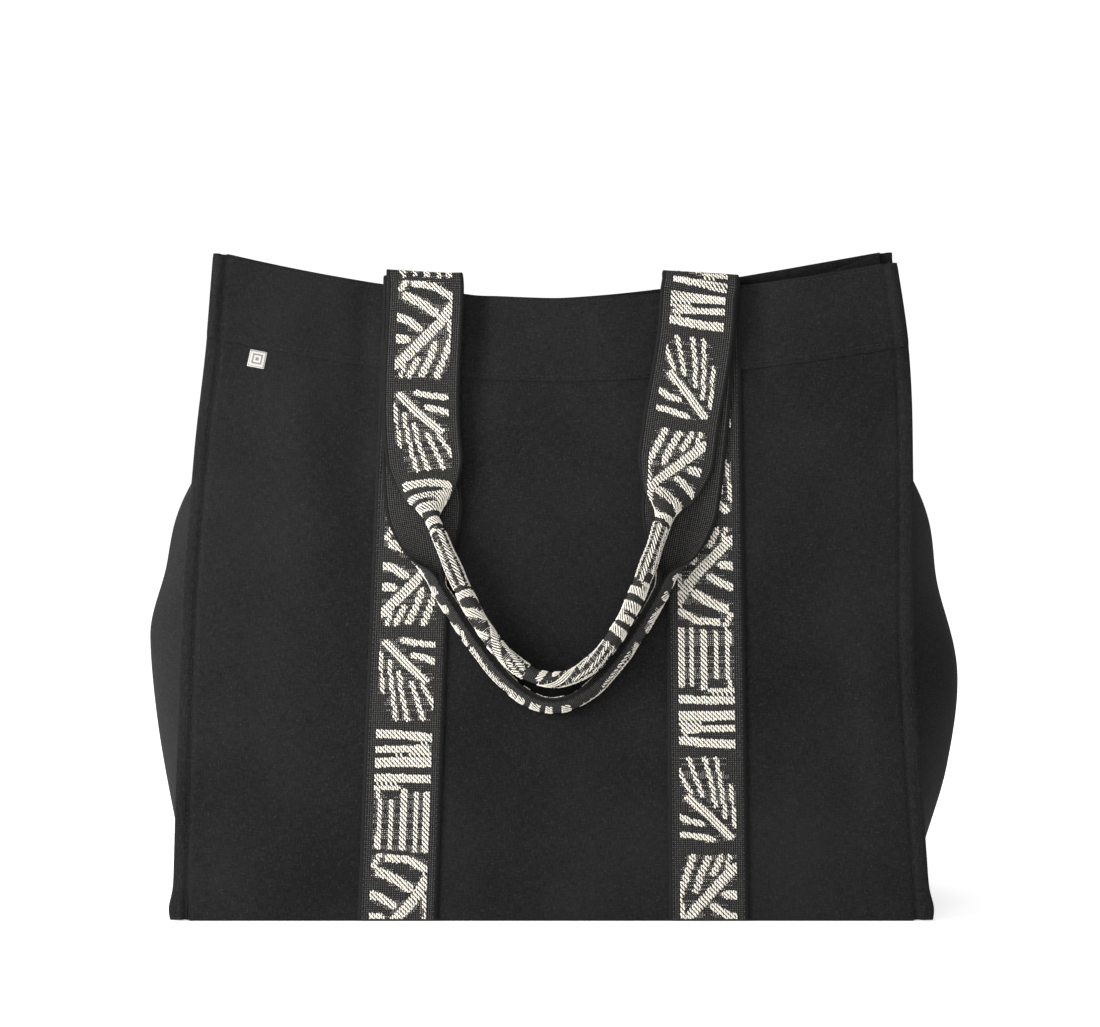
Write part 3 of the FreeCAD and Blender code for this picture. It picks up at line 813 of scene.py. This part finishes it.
def light_floats(band, first, drawing, settings, rng):
    """Carriers of the light floats that draw the pattern, in staggered columns."""
    start, direction, squeeze, run = drawing
    pitch, length = settings.column_pitch / MM, settings.float_length / MM
    slope = math.tan(settings.float_slant)
    row_pitch = length + 0.15
    carriers = []
    for column in FLOAT_COLUMNS:
        stagger = (0.5 if column % 2 else 0.0) * row_pitch
        for n in range(-1, int(band.along[-1] / row_pitch) + 2):
            centre = n * row_pitch + stagger
            inside = []
            for k in range(9):
                step = (k / 8 - 0.5) * length
                at = centre + step
                woven = first < at < band.along[-1] - 0.5
                if woven and in_stroke(column * pitch * squeeze, start + direction * at * run):
                    inside.append(step)
            if len(inside) < 3:
                # a few of the shortest are kept, as ticks
                if not inside or rng.random() >= 0.3:
                    continue
                inside = [inside[0] - 0.3, inside[0] + 0.3]
            low, high = min(inside), max(inside)
            at = centre + (low + high) / 2
            across = column * pitch + rng.uniform(-0.08, 0.08)
            gathered = float(np.interp(at, band.along, band.gathered))
            place, along, out = band.at(across, at)
            out = out * band.sign
            lie = unit(along - unit(np.cross(along, out)) * slope * band.sign)
            half_length = (high - low) / 2 + 0.25
            carriers.append((place + out * 0.85, lie, out, half_length, 0.64 * gathered, rng.random()))
    return carriers


def pin_dots(band, first, drawing, settings, rng):
    """Carriers of the pin dots that trail off the edges of the strokes, on some rows only."""
    start, direction, squeeze, run = drawing
    pitch = settings.column_pitch / MM
    carriers = []
    for row in range(int(band.along[-1] / PIN_PITCH)):
        at = (row + 0.5) * PIN_PITCH
        reach = rng.choice((0.0, 1.2, 2.6, 4.5))
        if at < first + 1 or reach == 0:
            continue
        pattern = start + direction * at * run
        for column in FLOAT_COLUMNS:
            seen = column * pitch * squeeze
            near = any(in_stroke(seen + shift, pattern) for shift in (-reach, -reach / 2, reach / 2, reach))
            if not near or in_stroke(seen, pattern):
                continue
            place, along, out = band.at(column * pitch, at)
            out = out * band.sign
            carriers.append((place + out * 0.8, along, out, 0.34, 0.2, 0.2 * rng.random()))
    return carriers


def float_piece(name, band, first, drawing, settings, seeds):
    """All the raised yarn of a band of webbing; the seeds are for its places and for its thickness."""
    rng = random.Random(seeds[0])
    carriers = light_floats(band, first, drawing, settings, rng)
    carriers += pin_dots(band, first, drawing, settings, rng)
    light = finish_of("light_yarn", thread_finish, tuple(settings.float_colour), 0.2)
    return lay_threads(name, carriers, light, 0.5, 0.12, seeds[1])


# ---- finishes

def new_material(name):
    """New material, its nodes and its surface node."""
    material = bpy.data.materials.new(name)
    material.use_nodes = True
    return material, Nodes(material.node_tree), material.node_tree.nodes["Principled BSDF"]


def weave_group(title):
    """Plain weave seen close: thread height, and slubs that darken and lighten single threads."""
    group = bpy.data.node_groups.new(title, "ShaderNodeTree")
    given, result = group_sockets(
        group,
        (("Place", "NodeSocketVector", None), ("Thread", "NodeSocketFloat", 0.0006),
         ("Slub", "NodeSocketFloat", 1.0)),
        (("Height", "NodeSocketFloat"), ("Tone", "NodeSocketFloat")))
    tree = Nodes(group)
    place = tree.split(given["Place"])
    across, along = (tree.math("DIVIDE", place[axis], given["Thread"]) for axis in ("X", "Y"))
    warp, weft = tree.wave(across), tree.wave(along)
    over = tree.math("MULTIPLY_ADD", tree.times(warp, weft), 0.5, 0.5)
    height = tree.add("ShaderNodeMix", "Result", {
        "Factor": over, "A": tree.math("ABSOLUTE", warp), "B": tree.math("ABSOLUTE", weft)})
    threads = tree.add("ShaderNodeCombineXYZ", "Vector", {"X": across, "Y": along})
    tones = []
    for stretch in ((0.12, 1.1, 1), (1.1, 0.14, 1)):
        slubs = tree.add("ShaderNodeVectorMath", 0, {0: threads, 1: stretch}, operation="MULTIPLY")
        tones.append(tree.noise(slubs, 1.0, {"Detail": 1.0}, "2D"))
    tone = tree.times(tree.math("ADD", *tones), 0.5)
    raised = tree.times(tone, given["Slub"])
    tree.feed(result, {"Height": tree.math("ADD", height, raised), "Tone": tone})
    return group


def wear_group(title):
    """Broad, faint changes of colour and dust caught in a dark cloth."""
    group = bpy.data.node_groups.new(title, "ShaderNodeTree")
    given, result = group_sockets(
        group,
        (("Place", "NodeSocketVector", None),),
        (("Fade", "NodeSocketFloat"), ("Lint", "NodeSocketFloat")))
    tree = Nodes(group)
    for name, scale, low, high in (("Fade", 9.0, 0.3, 0.7), ("Lint", 800.0, 0.56, 0.76)):
        tree.feed(result, {name: tree.span(tree.noise(given["Place"], scale, {"Detail": 3.0}), low, high)})
    return group


def tinted(colour, factor):
    return tuple(min(1.0, c * factor) for c in colour)


def canvas_finish(name, colour, thread):
    """Black canvas with slubs, faint fading and lint."""
    material, tree, skin = new_material(name)
    weave = tree.group("cloth_weave", weave_group, {"Thread": thread, "Place": tree.place("UV")})
    wear = tree.group("cloth_wear", wear_group, {"Place": tree.place("Object")})
    tone = tree.math("ADD", tree.times(weave["Tone"], 0.75), tree.times(wear["Fade"], 0.25))
    body = tree.colour(tree.span(tone, 0.36, 0.64), tinted(colour, 0.55), tinted(colour, 1.45))
    tree.feed(skin, {
        "Base Color": tree.colour(tree.times(wear["Lint"], 0.6), body, tinted(colour, 3.5)),
        "Roughness": 0.92, "Specular IOR Level": 0.12, "Sheen Weight": 0.02, "Sheen Roughness": 0.5,
        "Normal": tree.dent(weave["Height"], 0.8, 0.00025)})
    return material


def webbing_finish(name, colour, pitch):
    """Black ground: cords along its length between fine picks, and grey pin dots inside the patterned width."""
    material, tree, skin = new_material(name)
    place = tree.place("UV")
    across, along = (tree.split(place)[axis] for axis in ("X", "Y"))
    cord = tree.math("ABSOLUTE", tree.wave(tree.math("DIVIDE", across, pitch)))
    pick = tree.math("ABSOLUTE", tree.wave(tree.math("DIVIDE", along, pitch * 0.82)))
    height = tree.math("ADD", tree.times(cord, 0.6), tree.times(pick, 0.5))
    noise = tree.noise(place, 700.0, dimensions="2D")
    inner = tree.math("LESS_THAN", tree.math("ABSOLUTE", across), 0.0235)
    pins = tree.math("GREATER_THAN", tree.times(cord, pick), 0.66)
    pins = tree.times(tree.times(pins, inner), noise)
    body = tree.colour(noise, tinted(colour, 0.4), tinted(colour, 1.0))
    tree.feed(skin, {
        "Base Color": tree.colour(tree.times(pins, 0.95), body, (0.15, 0.145, 0.135)),
        "Roughness": 0.8, "Specular IOR Level": 0.15, "Sheen Weight": 0.02,
        "Normal": tree.dent(height, 0.7, 0.0004)})
    return material


def thread_finish(name, colour, spread):
    """Twisted yarn whose tone changes from thread to thread."""
    material, tree, skin = new_material(name)
    tone = tree.add("ShaderNodeAttribute", "Fac", {}, attribute_name="tone")
    noise = tree.noise(tree.place("Object"), 1600.0)
    both = tree.math("ADD", tree.times(tone, 0.5), tree.times(noise, 0.5))
    tree.feed(skin, {
        "Base Color": tree.colour(both, tinted(colour, 1 - spread), tinted(colour, 1 + spread)),
        "Roughness": 0.75, "Specular IOR Level": 0.12, "Sheen Weight": 0.03,
        "Normal": tree.dent(noise, 0.4, 0.0002)})
    return material


def metal_finish(name):
    """Brushed nickel of the snap."""
    material, tree, skin = new_material(name)
    brushed = tree.add("ShaderNodeMapping", 0, {"Vector": tree.place("Object"), "Scale": (900, 900, 60)})
    noise = tree.noise(brushed, 1.0)
    tree.feed(skin, {
        "Base Color": tree.colour(noise, (0.42, 0.42, 0.43), (0.6, 0.6, 0.6)),
        "Roughness": tree.span(noise, 0.0, 1.0, 0.25, 0.45), "Metallic": 1.0})
    return material


def tag_finish(name, colour):
    """Satin tag with a plain woven frame inside a frame."""
    material, tree, skin = new_material(name)
    place = tree.split(tree.place("UV"))
    edge = tree.math("MAXIMUM", *(tree.math("ABSOLUTE", place[axis]) for axis in ("X", "Y")))
    rings = tree.math("SINE", tree.times(edge, 2 * math.pi / 0.0023))
    mark = tree.times(tree.math("GREATER_THAN", rings, 0.15), tree.math("LESS_THAN", edge, 0.0052))
    noise = tree.noise(tree.place("Object"), 1500.0)
    ground = tree.colour(noise, tinted(colour, 0.8), tinted(colour, 1.15))
    tree.feed(skin, {
        "Base Color": tree.colour(tree.times(mark, 0.8), ground, (0.07, 0.07, 0.068)),
        "Roughness": 0.6, "Normal": tree.dent(noise, 0.4, 0.0002)})
    return material


def finish_of(name, builder, *values):
    """Material of this name, which is built at its first use."""
    return bpy.data.materials.get(name) or builder(name, *values)


def canvas_material(bag):
    return finish_of("black_canvas", canvas_finish, tuple(bag.canvas_colour), bag.thread)


def dark_thread(bag):
    return finish_of("black_sewing_thread", thread_finish, tinted(bag.canvas_colour, 1.5), 0.3)


# ---- settings

def length_setting(name, description, default, **limits):
    return bpy.props.FloatProperty(
        name=name, description=description, default=default, unit="LENGTH", subtype="DISTANCE", **limits)


def colour_setting(name, description, default):
    return bpy.props.FloatVectorProperty(
        name=name, description=description, default=default, size=3, subtype="COLOR")


class ToteCanvasSettings(bpy.types.PropertyGroup):
    canvas_thickness: length_setting(
        "Canvas thickness", "Thickness of one layer of canvas", 0.0008, min=0.0003)
    hem_depth: length_setting("Hem depth", "How deep the hem band is", 0.056)
    thread: length_setting("Thread pitch", "Distance between the canvas's threads", 0.0007)
    stitch_pitch: length_setting("Stitch pitch", "Distance from stitch to stitch", 0.0034)
    canvas_colour: colour_setting("Canvas colour", "Colour of the canvas", (0.0100, 0.0097, 0.0098))
    tag_colour: colour_setting("Tag colour", "Colour of the small woven tag", (0.5, 0.485, 0.45))


class ToteWebbingSettings(bpy.types.PropertyGroup):
    thickness: length_setting("Webbing thickness", "Thickness of the webbing", 0.0015)
    column_pitch: length_setting("Column pitch", "Distance between columns of floats", 0.00146)
    float_length: length_setting("Float length", "Longest light float", 0.0029)
    float_slant: bpy.props.FloatProperty(
        name="Float slant", description="How far the floats lean from the webbing's length",
        default=math.radians(21), unit="ROTATION", subtype="ANGLE")
    ground_colour: colour_setting("Ground colour", "Dark ground of the webbing", (0.010, 0.010, 0.0103))
    float_colour: colour_setting("Float colour", "Light yarn of the pattern", (0.74, 0.70, 0.62))


class ToteStageSettings(bpy.types.PropertyGroup):
    camera_distance: length_setting("Camera distance", "From the lens to the foot of the front panel", 1.76)
    camera_height: length_setting("Camera height", "Height of the lens above the floor", 0.261)
    lens: bpy.props.FloatProperty(name="Lens", description="Focal length in millimetres", default=90.0)
    key_power: bpy.props.FloatProperty(
        name="Key light", description="Power of the left softbox in watts", default=56.0)
    room_light: bpy.props.FloatProperty(
        name="Room light", description="Brightness of the white room", default=0.24)
    # the floor's glow is painted light, and this lower value near the bag paints a faint shade round the bag
    floor_glow: bpy.props.FloatProperty(
        name="Floor glow", description="Light through the floor near the bag, as on a light table", default=0.65)
    floor_colour: colour_setting("Floor colour", "Colour of the floor", (0.93, 0.93, 0.93))


# ---- one operator for each piece or group

class TOTE_OT_panels(bpy.types.Operator):
    """Sews the front and back panels and their hem bands"""
    bl_idname = "tote.panels"
    bl_label = "Panels and hem bands"

    def execute(self, context):
        bag = context.scene.tote_canvas
        canvas = canvas_material(bag)
        half = bag.canvas_thickness / MM / 2
        for back, face in ((False, "front"), (True, "back")):
            whole = panel_grid(back, 0.0, 121, 105)
            panel = cloth(f"{face}_panel_canvas", whole, -half, half, canvas, turned=back)
            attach(panel, "bag")
            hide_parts(f"{face}_panel")
            band = panel_grid(back, HEM_OFFSET, 161, 20, bag.hem_depth / MM)
            hem = cloth(f"{face}_hem", band, -half - 0.5, half, canvas, turned=back)
            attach(hem, "bag")
            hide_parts(f"{face}_hem_band")
        return {"FINISHED"}


class TOTE_OT_gussets(bpy.types.Operator):
    """Sews the two folded gussets with their hem bands"""
    bl_idname = "tote.gussets"
    bl_label = "Gussets"

    def execute(self, context):
        bag = context.scene.tote_canvas
        canvas = canvas_material(bag)
        half = bag.canvas_thickness / MM / 2
        for name, side in SIDES.items():
            turned = side < 0
            whole = gusset_grid(side, 97, 121)
            gusset = cloth(f"{name}_gusset_canvas", whole, -half, half, canvas, turned=turned)
            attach(gusset, "bag")
            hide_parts(f"{name}_gusset")
            band = gusset_grid(side, 97, 20, bag.hem_depth / MM)
            hem = cloth(f"{name}_gusset_hem", band, 1.0, 1.0 + 2 * half, canvas, turned=turned)
            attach(hem, "bag")
            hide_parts(f"{name}_gusset_hem_band")
        return {"FINISHED"}


def corner_seam(name, side, back, canvas):
    """Pinched seam up one corner, a little thicker at its foot."""
    top = float(rim_height(side * CORNER_X, back))
    z = np.concatenate([np.linspace(LOWEST, 24, 12), np.linspace(28, top - 3, 96), [top - 1.2, top - 0.2]])
    inner = panel_edge(side, z)
    y = panel_point(inner, z, back)[:, 1]
    swell = 1 + 0.05 * np.sin(z / 9.0) + 0.04 * np.sin(z / 23.0 + side) + 0.9 * np.exp(-(z / 14.0)**2)
    shrink = np.where(z > top - 2.5, 0.6, 1.0)
    flare = 1 + 0.26 * np.exp(-((z - 8) / 9.0)**2)
    profile = (*SEAM_PROFILE, *((out, -toward) for out, toward in reversed(SEAM_PROFILE)))
    rows = []
    for out, toward in profile:
        rows.append(np.stack([inner + side * out * (flare if out > 5 else 1),
                              y + (toward if back else -toward) * swell * shrink, z], axis=-1))
    ring = np.stack(rows, axis=1)
    count, around = ring.shape[:2]
    uv = np.stack([np.tile(np.arange(around) * 1.3, count), np.repeat(z, around)], axis=-1)
    faces = tube_faces(count, around, (side < 0) != back)
    return finish_mesh(name, ring.reshape(-1, 3), faces, canvas, uv, sharp=70)


class TOTE_OT_corners(bpy.types.Operator):
    """Pinches the four corner seams"""
    bl_idname = "tote.corners"
    bl_label = "Corner seams"

    def execute(self, context):
        canvas = canvas_material(context.scene.tote_canvas)
        for back, face in ((False, "front"), (True, "back")):
            for name, side in SIDES.items():
                welt = corner_seam(f"{face}_{name}_corner_seam", side, back, canvas)
                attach(welt, "bag")
                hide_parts(f"{face}_{name}_corner_welt")
        return {"FINISHED"}


class TOTE_OT_base(bpy.types.Operator):
    """Lays the base and binds the raw edges round it"""
    bl_idname = "tote.base"
    bl_label = "Base and bindings"

    def execute(self, context):
        bag = context.scene.tote_canvas
        canvas = canvas_material(bag)
        tape = finish_of("binding_twill", canvas_finish, tinted(bag.canvas_colour, 0.9), 0.0005)
        low, high = np.array(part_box("base_panel")) / MM
        columns, rows = (np.linspace(low[k] + 0.3, high[k] - 0.3, samples) for k, samples in ((0, 61), (1, 31)))
        u, v = np.meshgrid(columns, rows)
        across, deep = (u - low[0]) / (high[0] - low[0]), (v - low[1]) / (high[1] - low[1])
        dome = 0.9 * np.sin(across * math.pi) * np.sin(deep * math.pi)
        base = cloth("base_panel_canvas", np.stack([u, v, 0.4 + dome], axis=-1), -0.4, 0.4, canvas)
        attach(base, "bag")
        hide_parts("base_panel")
        for name, axis, samples in (("front", 0, 121), ("back", 0, 121), ("left", 1, 61), ("right", 1, 61)):
            low, high = np.array(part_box(f"{name}_base_binding")) / MM
            run = np.linspace(low[axis] + 1, high[axis] - 1, samples)
            t, h = np.meshgrid(run, np.linspace(low[2] + 0.7, high[2] - 0.7, 6))
            across = (low[1 - axis] + high[1 - axis]) / 2 + 0.12 * np.sin(t / 6.0)
            grid = np.stack([across, t, h] if axis else [t, across, h], axis=-1)
            binding = cloth(f"{name}_binding_tape", grid, -0.55, 0.55, tape)
            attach(binding, "bag")
            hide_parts(f"{name}_base_binding")
        return {"FINISHED"}


def webbing_ground(settings):
    return finish_of("webbing_ground", webbing_finish, tuple(settings.ground_colour), settings.column_pitch)


def webbing_places(points, along):
    """Place on the webbing, across and along, of every point of a band."""
    return np.stack(np.meshgrid(np.linspace(-HALF_WEBBING, HALF_WEBBING, points.shape[1]), along), axis=-1)


def sew_strap(face, side, drawing, settings, bag):
    """Webbing up one side of a panel, with its pattern and its two rows of stitches."""
    back = face == "back"
    name = "left" if side < 0 else "right"
    half = settings.thickness / MM / 2
    points, along = sewn_band(side, back)
    uv = webbing_places(points, along)
    piece = cloth(f"{face}_{name}_sewn_webbing", points, -half, half, webbing_ground(settings), uv)
    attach(piece, "bag")
    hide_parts(f"{face}_{name}_sewn_strap")
    band = Band(points, along, np.ones(len(along)), 1)
    seed = (11 if drawing[1] < 0 else 17) + side
    floats = float_piece(f"{face}_{name}_sewn_floats", band, 0.5, drawing, settings, (seed, 5))
    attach(floats, "bag")
    rows = []
    for across in (-22.6, 22.6):
        places = [band.at(across, at) for at in np.linspace(2, along[-1] - 1, 160)]
        line, outs = np.array([p[0] for p in places]), np.array([p[2] for p in places])
        rows += stitch_row(line + outs * (half + 0.02), outs, bag.stitch_pitch / MM)
    stitches = lay_threads(f"{face}_{name}_strap_stitches", rows, dark_thread(bag), 0.3)
    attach(stitches, "bag")


def make_handle(handle, drawing, settings, bag):
    """Whole handle: its webbing, its pattern, the stitches that close the grip, and the cord inside."""
    face, bend = FACE[handle], RIM_BEND[handle]
    half = settings.thickness / MM / 2
    points, along, gathered, centre, rolled = handle_band(handle)
    uv = webbing_places(points, along)
    piece = cloth(f"{handle}_handle_webbing", points, -half, half, webbing_ground(settings), uv, turned=True)
    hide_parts(*(f"{handle}_handle_{part}" for part in (
        "left_fold", "right_fold", "left_strap", "right_strap", "grip")))
    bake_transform(piece)
    band = Band(points, along, gathered, -1, face)
    floats = float_piece(f"{handle}_handle_floats", band, 1.0, drawing, settings, (29 + face, 7))
    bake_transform(floats)
    closed = np.nonzero(rolled > FULLY_ROLLED)[0]
    rows = []
    for share in (-1, 1):
        places = [band.at(share * (HALF_WEBBING - 2.4), along[i]) for i in closed]
        line = np.array([p[0] + p[2] * face * (half + 0.05) for p in places])
        rows += stitch_row(line, np.array([p[2] * face for p in places]), 4.0, 2.8)
    stitches = lay_threads(f"{handle}_grip_stitches", rows, dark_thread(bag), 0.3)
    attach(stitches, f"{handle}_handle")
    core = filler_cord(f"{handle}_filler_cord", centre[closed[0]:closed[-1] + 1])
    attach(core, f"{handle}_handle")
    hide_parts(f"{handle}_handle_core")


class TOTE_OT_webbing(bpy.types.Operator):
    """Sews the webbing up the panels and makes the two handles with their rolled grips"""
    bl_idname = "tote.webbing"
    bl_label = "Webbing and handles"

    def execute(self, context):
        settings, bag = context.scene.tote_webbing, context.scene.tote_canvas
        for (face, side), drawing in SEWN_DRAWING.items():
            sew_strap(face, side, drawing, settings, bag)
        for handle, drawing in HANDLE_DRAWING.items():
            make_handle(handle, drawing, settings, bag)
        return {"FINISHED"}


def filler_cord(name, centre):
    """Three-strand cord inside a rolled grip."""
    tangent = unit(np.gradient(centre, axis=0))
    side = unit(np.cross(tangent, np.array([0.0, -1.0, 0.0])))
    up = np.cross(side, tangent)
    turn = lengths(centre) / 14 * 2 * math.pi
    around = 18
    rings = []
    for n in range(around):
        angle = n / around * 2 * math.pi
        radius = 2.75 + 0.4 * np.cos(3 * (angle - turn))
        rings.append(centre + side * (np.cos(angle) * radius)[:, None] + up * (np.sin(angle) * radius)[:, None])
    verts = np.stack(rings, axis=1).reshape(-1, 3)
    # the points run the other way round than a corner seam's, so every face is turned
    *walls, foot, head = tube_faces(len(centre), around)
    faces = [(a, d, c, b) for a, b, c, d in walls] + [foot[::-1], head[::-1]]
    material = finish_of("cotton_filler", thread_finish, (0.62, 0.58, 0.5), 0.15)
    return finish_mesh(name, verts, faces, material)


def on_tag(u, v):
    """Place on the front panel (x, height) of a point of the tag."""
    return (TAG_PLACE[0] + u * math.cos(TAG_TURN) - v * math.sin(TAG_TURN),
            TAG_PLACE[1] + u * math.sin(TAG_TURN) + v * math.cos(TAG_TURN))


def sew_tag(bag):
    """Square tag, sewn down round its edge."""
    spread = np.linspace(-TAG_HALF, TAG_HALF, 9)
    u, v = np.meshgrid(spread, spread)
    grid = off_panel(*on_tag(u, v), 0.8 - 0.12 * (np.abs(u) / TAG_HALF)**4 - 0.12 * (np.abs(v) / TAG_HALF)**4)
    satin = finish_of("woven_tag_cloth", tag_finish, tuple(bag.tag_colour))
    tag = cloth("woven_square_tag", grid, -0.28, 0.28, satin, np.stack([u, v], axis=-1))
    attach(tag, "bag")
    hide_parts("woven_tag")
    seam = ((-TAG_SEAM, -TAG_SEAM), (TAG_SEAM, -TAG_SEAM), (TAG_SEAM, TAG_SEAM), (-TAG_SEAM, TAG_SEAM))
    rows = []
    for (a, b), (c, d) in zip(seam, (*seam[1:], seam[0])):
        t = np.linspace(0, 1, 12)
        x, z = on_tag(mix(a, c, t), mix(b, d, t))
        rows += stitch_row(off_panel(x, z, np.full(12, 1.02)), panel_normal(x, z), 1.6, 1.2, 0.16)
    pale = finish_of("tag_thread", thread_finish, (0.5, 0.49, 0.46), 0.15)
    edge = lay_threads("tag_stitches", rows, pale, 0.14)
    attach(edge, "bag")


def plate_snap():
    """Brushed nickel for the snap's own nodes."""
    nickel = finish_of("brushed_nickel", metal_finish)
    for face in ("front", "back"):
        for part in ("snap_half", "snap_plate"):
            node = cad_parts[f"{face}_{part}"]
            node.data.materials.clear()
            node.data.materials.append(nickel)


def stitch_seams(bag):
    """Stitches along both edges of the hem bands and up the corner seams."""
    pitch, depth = bag.stitch_pitch / MM, bag.hem_depth / MM
    drops = (2.4, depth - 2.6)
    rows = []
    for back in (False, True):
        outward = 1 if back else -1
        for drop in drops:
            x = np.linspace(-218, 218, 240)
            z = rim_height(x * CORNER_X / 226, back) - drop
            rows += stitch_row(off_panel(x, z, np.full(240, 1.82), back), panel_normal(x, z, back), pitch)
        for side in SIDES.values():
            # a gusset's band runs from front to back in one piece, so it is stitched once
            for drop in () if back else drops:
                grid = gusset_grid(side, 97, 40, depth)
                row = int(round((1 - drop / depth) * 39))
                outs = (normals_of(grid) * side)[row]
                rows += stitch_row((grid[row] + outs * 1.85)[2:-2], outs[2:-2], pitch)
            z = np.linspace(6, float(rim_height(side * CORNER_X, back)) - 4, 260)
            inner = panel_edge(side, z)
            y = panel_point(inner, z, back)[:, 1]
            line = np.stack([inner + side * 1.2, y + outward * 0.55, z], axis=-1)
            rows += stitch_row(line, np.tile([0.0, outward, 0.0], (len(z), 1)), pitch)
    seams = lay_threads("bag_seam_stitches", rows, dark_thread(bag), 0.3)
    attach(seams, "bag")


class TOTE_OT_small_parts(bpy.types.Operator):
    """Sews on the tag, finishes the snap and runs the hem and corner stitching"""
    bl_idname = "tote.small_parts"
    bl_label = "Tag, snap and stitching"

    def execute(self, context):
        bag = context.scene.tote_canvas
        sew_tag(bag)
        plate_snap()
        stitch_seams(bag)
        return {"FINISHED"}


def floor_finish(name, stage):
    """Pale floor with painted light: it glows everywhere, and glows less near the bag as a painted shade round
    it.
    """
    material, tree, skin = new_material(name)
    place = tree.place("Object")
    colour = tuple(stage.floor_colour)
    away = tree.add("ShaderNodeVectorMath", "Value", {0: place}, operation="LENGTH")
    tree.feed(skin, {
        "Base Color": tree.colour(tree.noise(place, 3.0), tinted(colour, 0.995), colour),
        "Roughness": 0.9, "Specular IOR Level": 0.1, "Emission Color": (1, 1, 1, 1),
        # painted light and shade: full glow from 1.2 m out, which hides the bag's own shadow there, and the
        # lower floor glow within 0.5 m, a painted shade round the bag
        "Emission Strength": tree.span(away, 0.5, 1.2, stage.floor_glow, 1.0)})
    return material


def lay_floor(stage, scene):
    size = 40.0
    mesh = bpy.data.meshes.new("studio_floor")
    corners = [(-size, -size, 0), (size, -size, 0), (size, size, 0), (-size, size, 0)]
    mesh.from_pydata(corners, [], [(0, 1, 2, 3)])
    mesh.materials.append(finish_of("plain_pale_floor", floor_finish, stage))
    floor = bpy.data.objects.new("studio_floor", mesh)
    scene.collection.objects.link(floor)


def light_room(stage, scene):
    """White room, which the camera sees brighter than it lights."""
    world = bpy.data.worlds.new("soft_white_room")
    world.use_nodes = True
    tree = Nodes(world.node_tree)
    seen = tree.add("ShaderNodeLightPath", "Is Camera Ray", {})
    tree.feed(world.node_tree.nodes["Background"], {
        "Color": (1, 1, 1, 1), "Strength": tree.span(seen, 0.0, 1.0, stage.room_light, 1.05)})
    scene.world = world
    scene.view_settings.view_transform = "Standard"


def hang_softboxes(stage, scene):
    lights = (("left_softbox", (-1.7, -1.0, 0.8), 1.0, stage.key_power),
              ("front_softbox", (-0.5, -2.4, 1.5), 1.2, stage.key_power * 0.3),
              ("top_softbox", (0.0, 0.3, 2.2), 1.8, stage.key_power * 0.2))
    for name, place, size, power in lights:
        lamp = bpy.data.lights.new(name, "AREA")
        lamp.energy = power
        lamp.shape = "SQUARE"
        lamp.size = size
        light = bpy.data.objects.new(name, lamp)
        light.location = place
        aim = Vector((0, 0, 0.2)) - Vector(place)
        light.rotation_euler = aim.to_track_quat("-Z", "Y").to_euler()
        scene.collection.objects.link(light)


def set_camera(stage, scene):
    lens = bpy.data.cameras.new("camera")
    lens.lens = stage.lens
    lens.sensor_width = 36.0
    lens.clip_start = 0.05
    camera = bpy.data.objects.new("camera", lens)
    camera.location = (-0.004, -BASE_HALF_DEPTH * MM - stage.camera_distance, stage.camera_height)
    camera.rotation_euler = (math.radians(90), 0, 0)
    scene.collection.objects.link(camera)
    scene.camera = camera


class TOTE_OT_stage(bpy.types.Operator):
    """Sets the floor, soft lights and the camera"""
    bl_idname = "tote.stage"
    bl_label = "Stage"

    def execute(self, context):
        for part in (lay_floor, light_room, hang_softboxes, set_camera):
            part(context.scene.tote_stage, context.scene)
        return {"FINISHED"}


class TOTE_PT_sidebar(bpy.types.Panel):
    """Lists the bag's settings and pieces"""
    bl_idname = "TOTE_PT_sidebar"
    bl_label = "Tote bag"
    bl_space_type = "VIEW_3D"
    bl_region_type = "UI"
    bl_category = "Tote bag"

    def draw(self, context):
        layout = self.layout
        for settings in (context.scene.tote_canvas, context.scene.tote_webbing, context.scene.tote_stage):
            box = layout.box()
            for name in settings.__annotations__:
                box.prop(settings, name)
        for operator in OPERATORS:
            layout.operator(operator.bl_idname)


OPERATORS = (TOTE_OT_stage, TOTE_OT_base, TOTE_OT_panels, TOTE_OT_gussets, TOTE_OT_corners, TOTE_OT_webbing,
             TOTE_OT_small_parts)
SETTINGS = {"tote_canvas": ToteCanvasSettings, "tote_webbing": ToteWebbingSettings,
            "tote_stage": ToteStageSettings}


def register():
    for item in (*SETTINGS.values(), *OPERATORS, TOTE_PT_sidebar):
        bpy.utils.register_class(item)
    for name, group in SETTINGS.items():
        setattr(bpy.types.Scene, name, bpy.props.PointerProperty(type=group))


def unregister():
    for name in SETTINGS:
        delattr(bpy.types.Scene, name)
    for item in reversed((*SETTINGS.values(), *OPERATORS, TOTE_PT_sidebar)):
        bpy.utils.unregister_class(item)


def main():
    register()
    for operator in OPERATORS:
        getattr(bpy.ops.tote, operator.bl_idname.split(".")[1])()


if __name__ == "__main__":
    main()
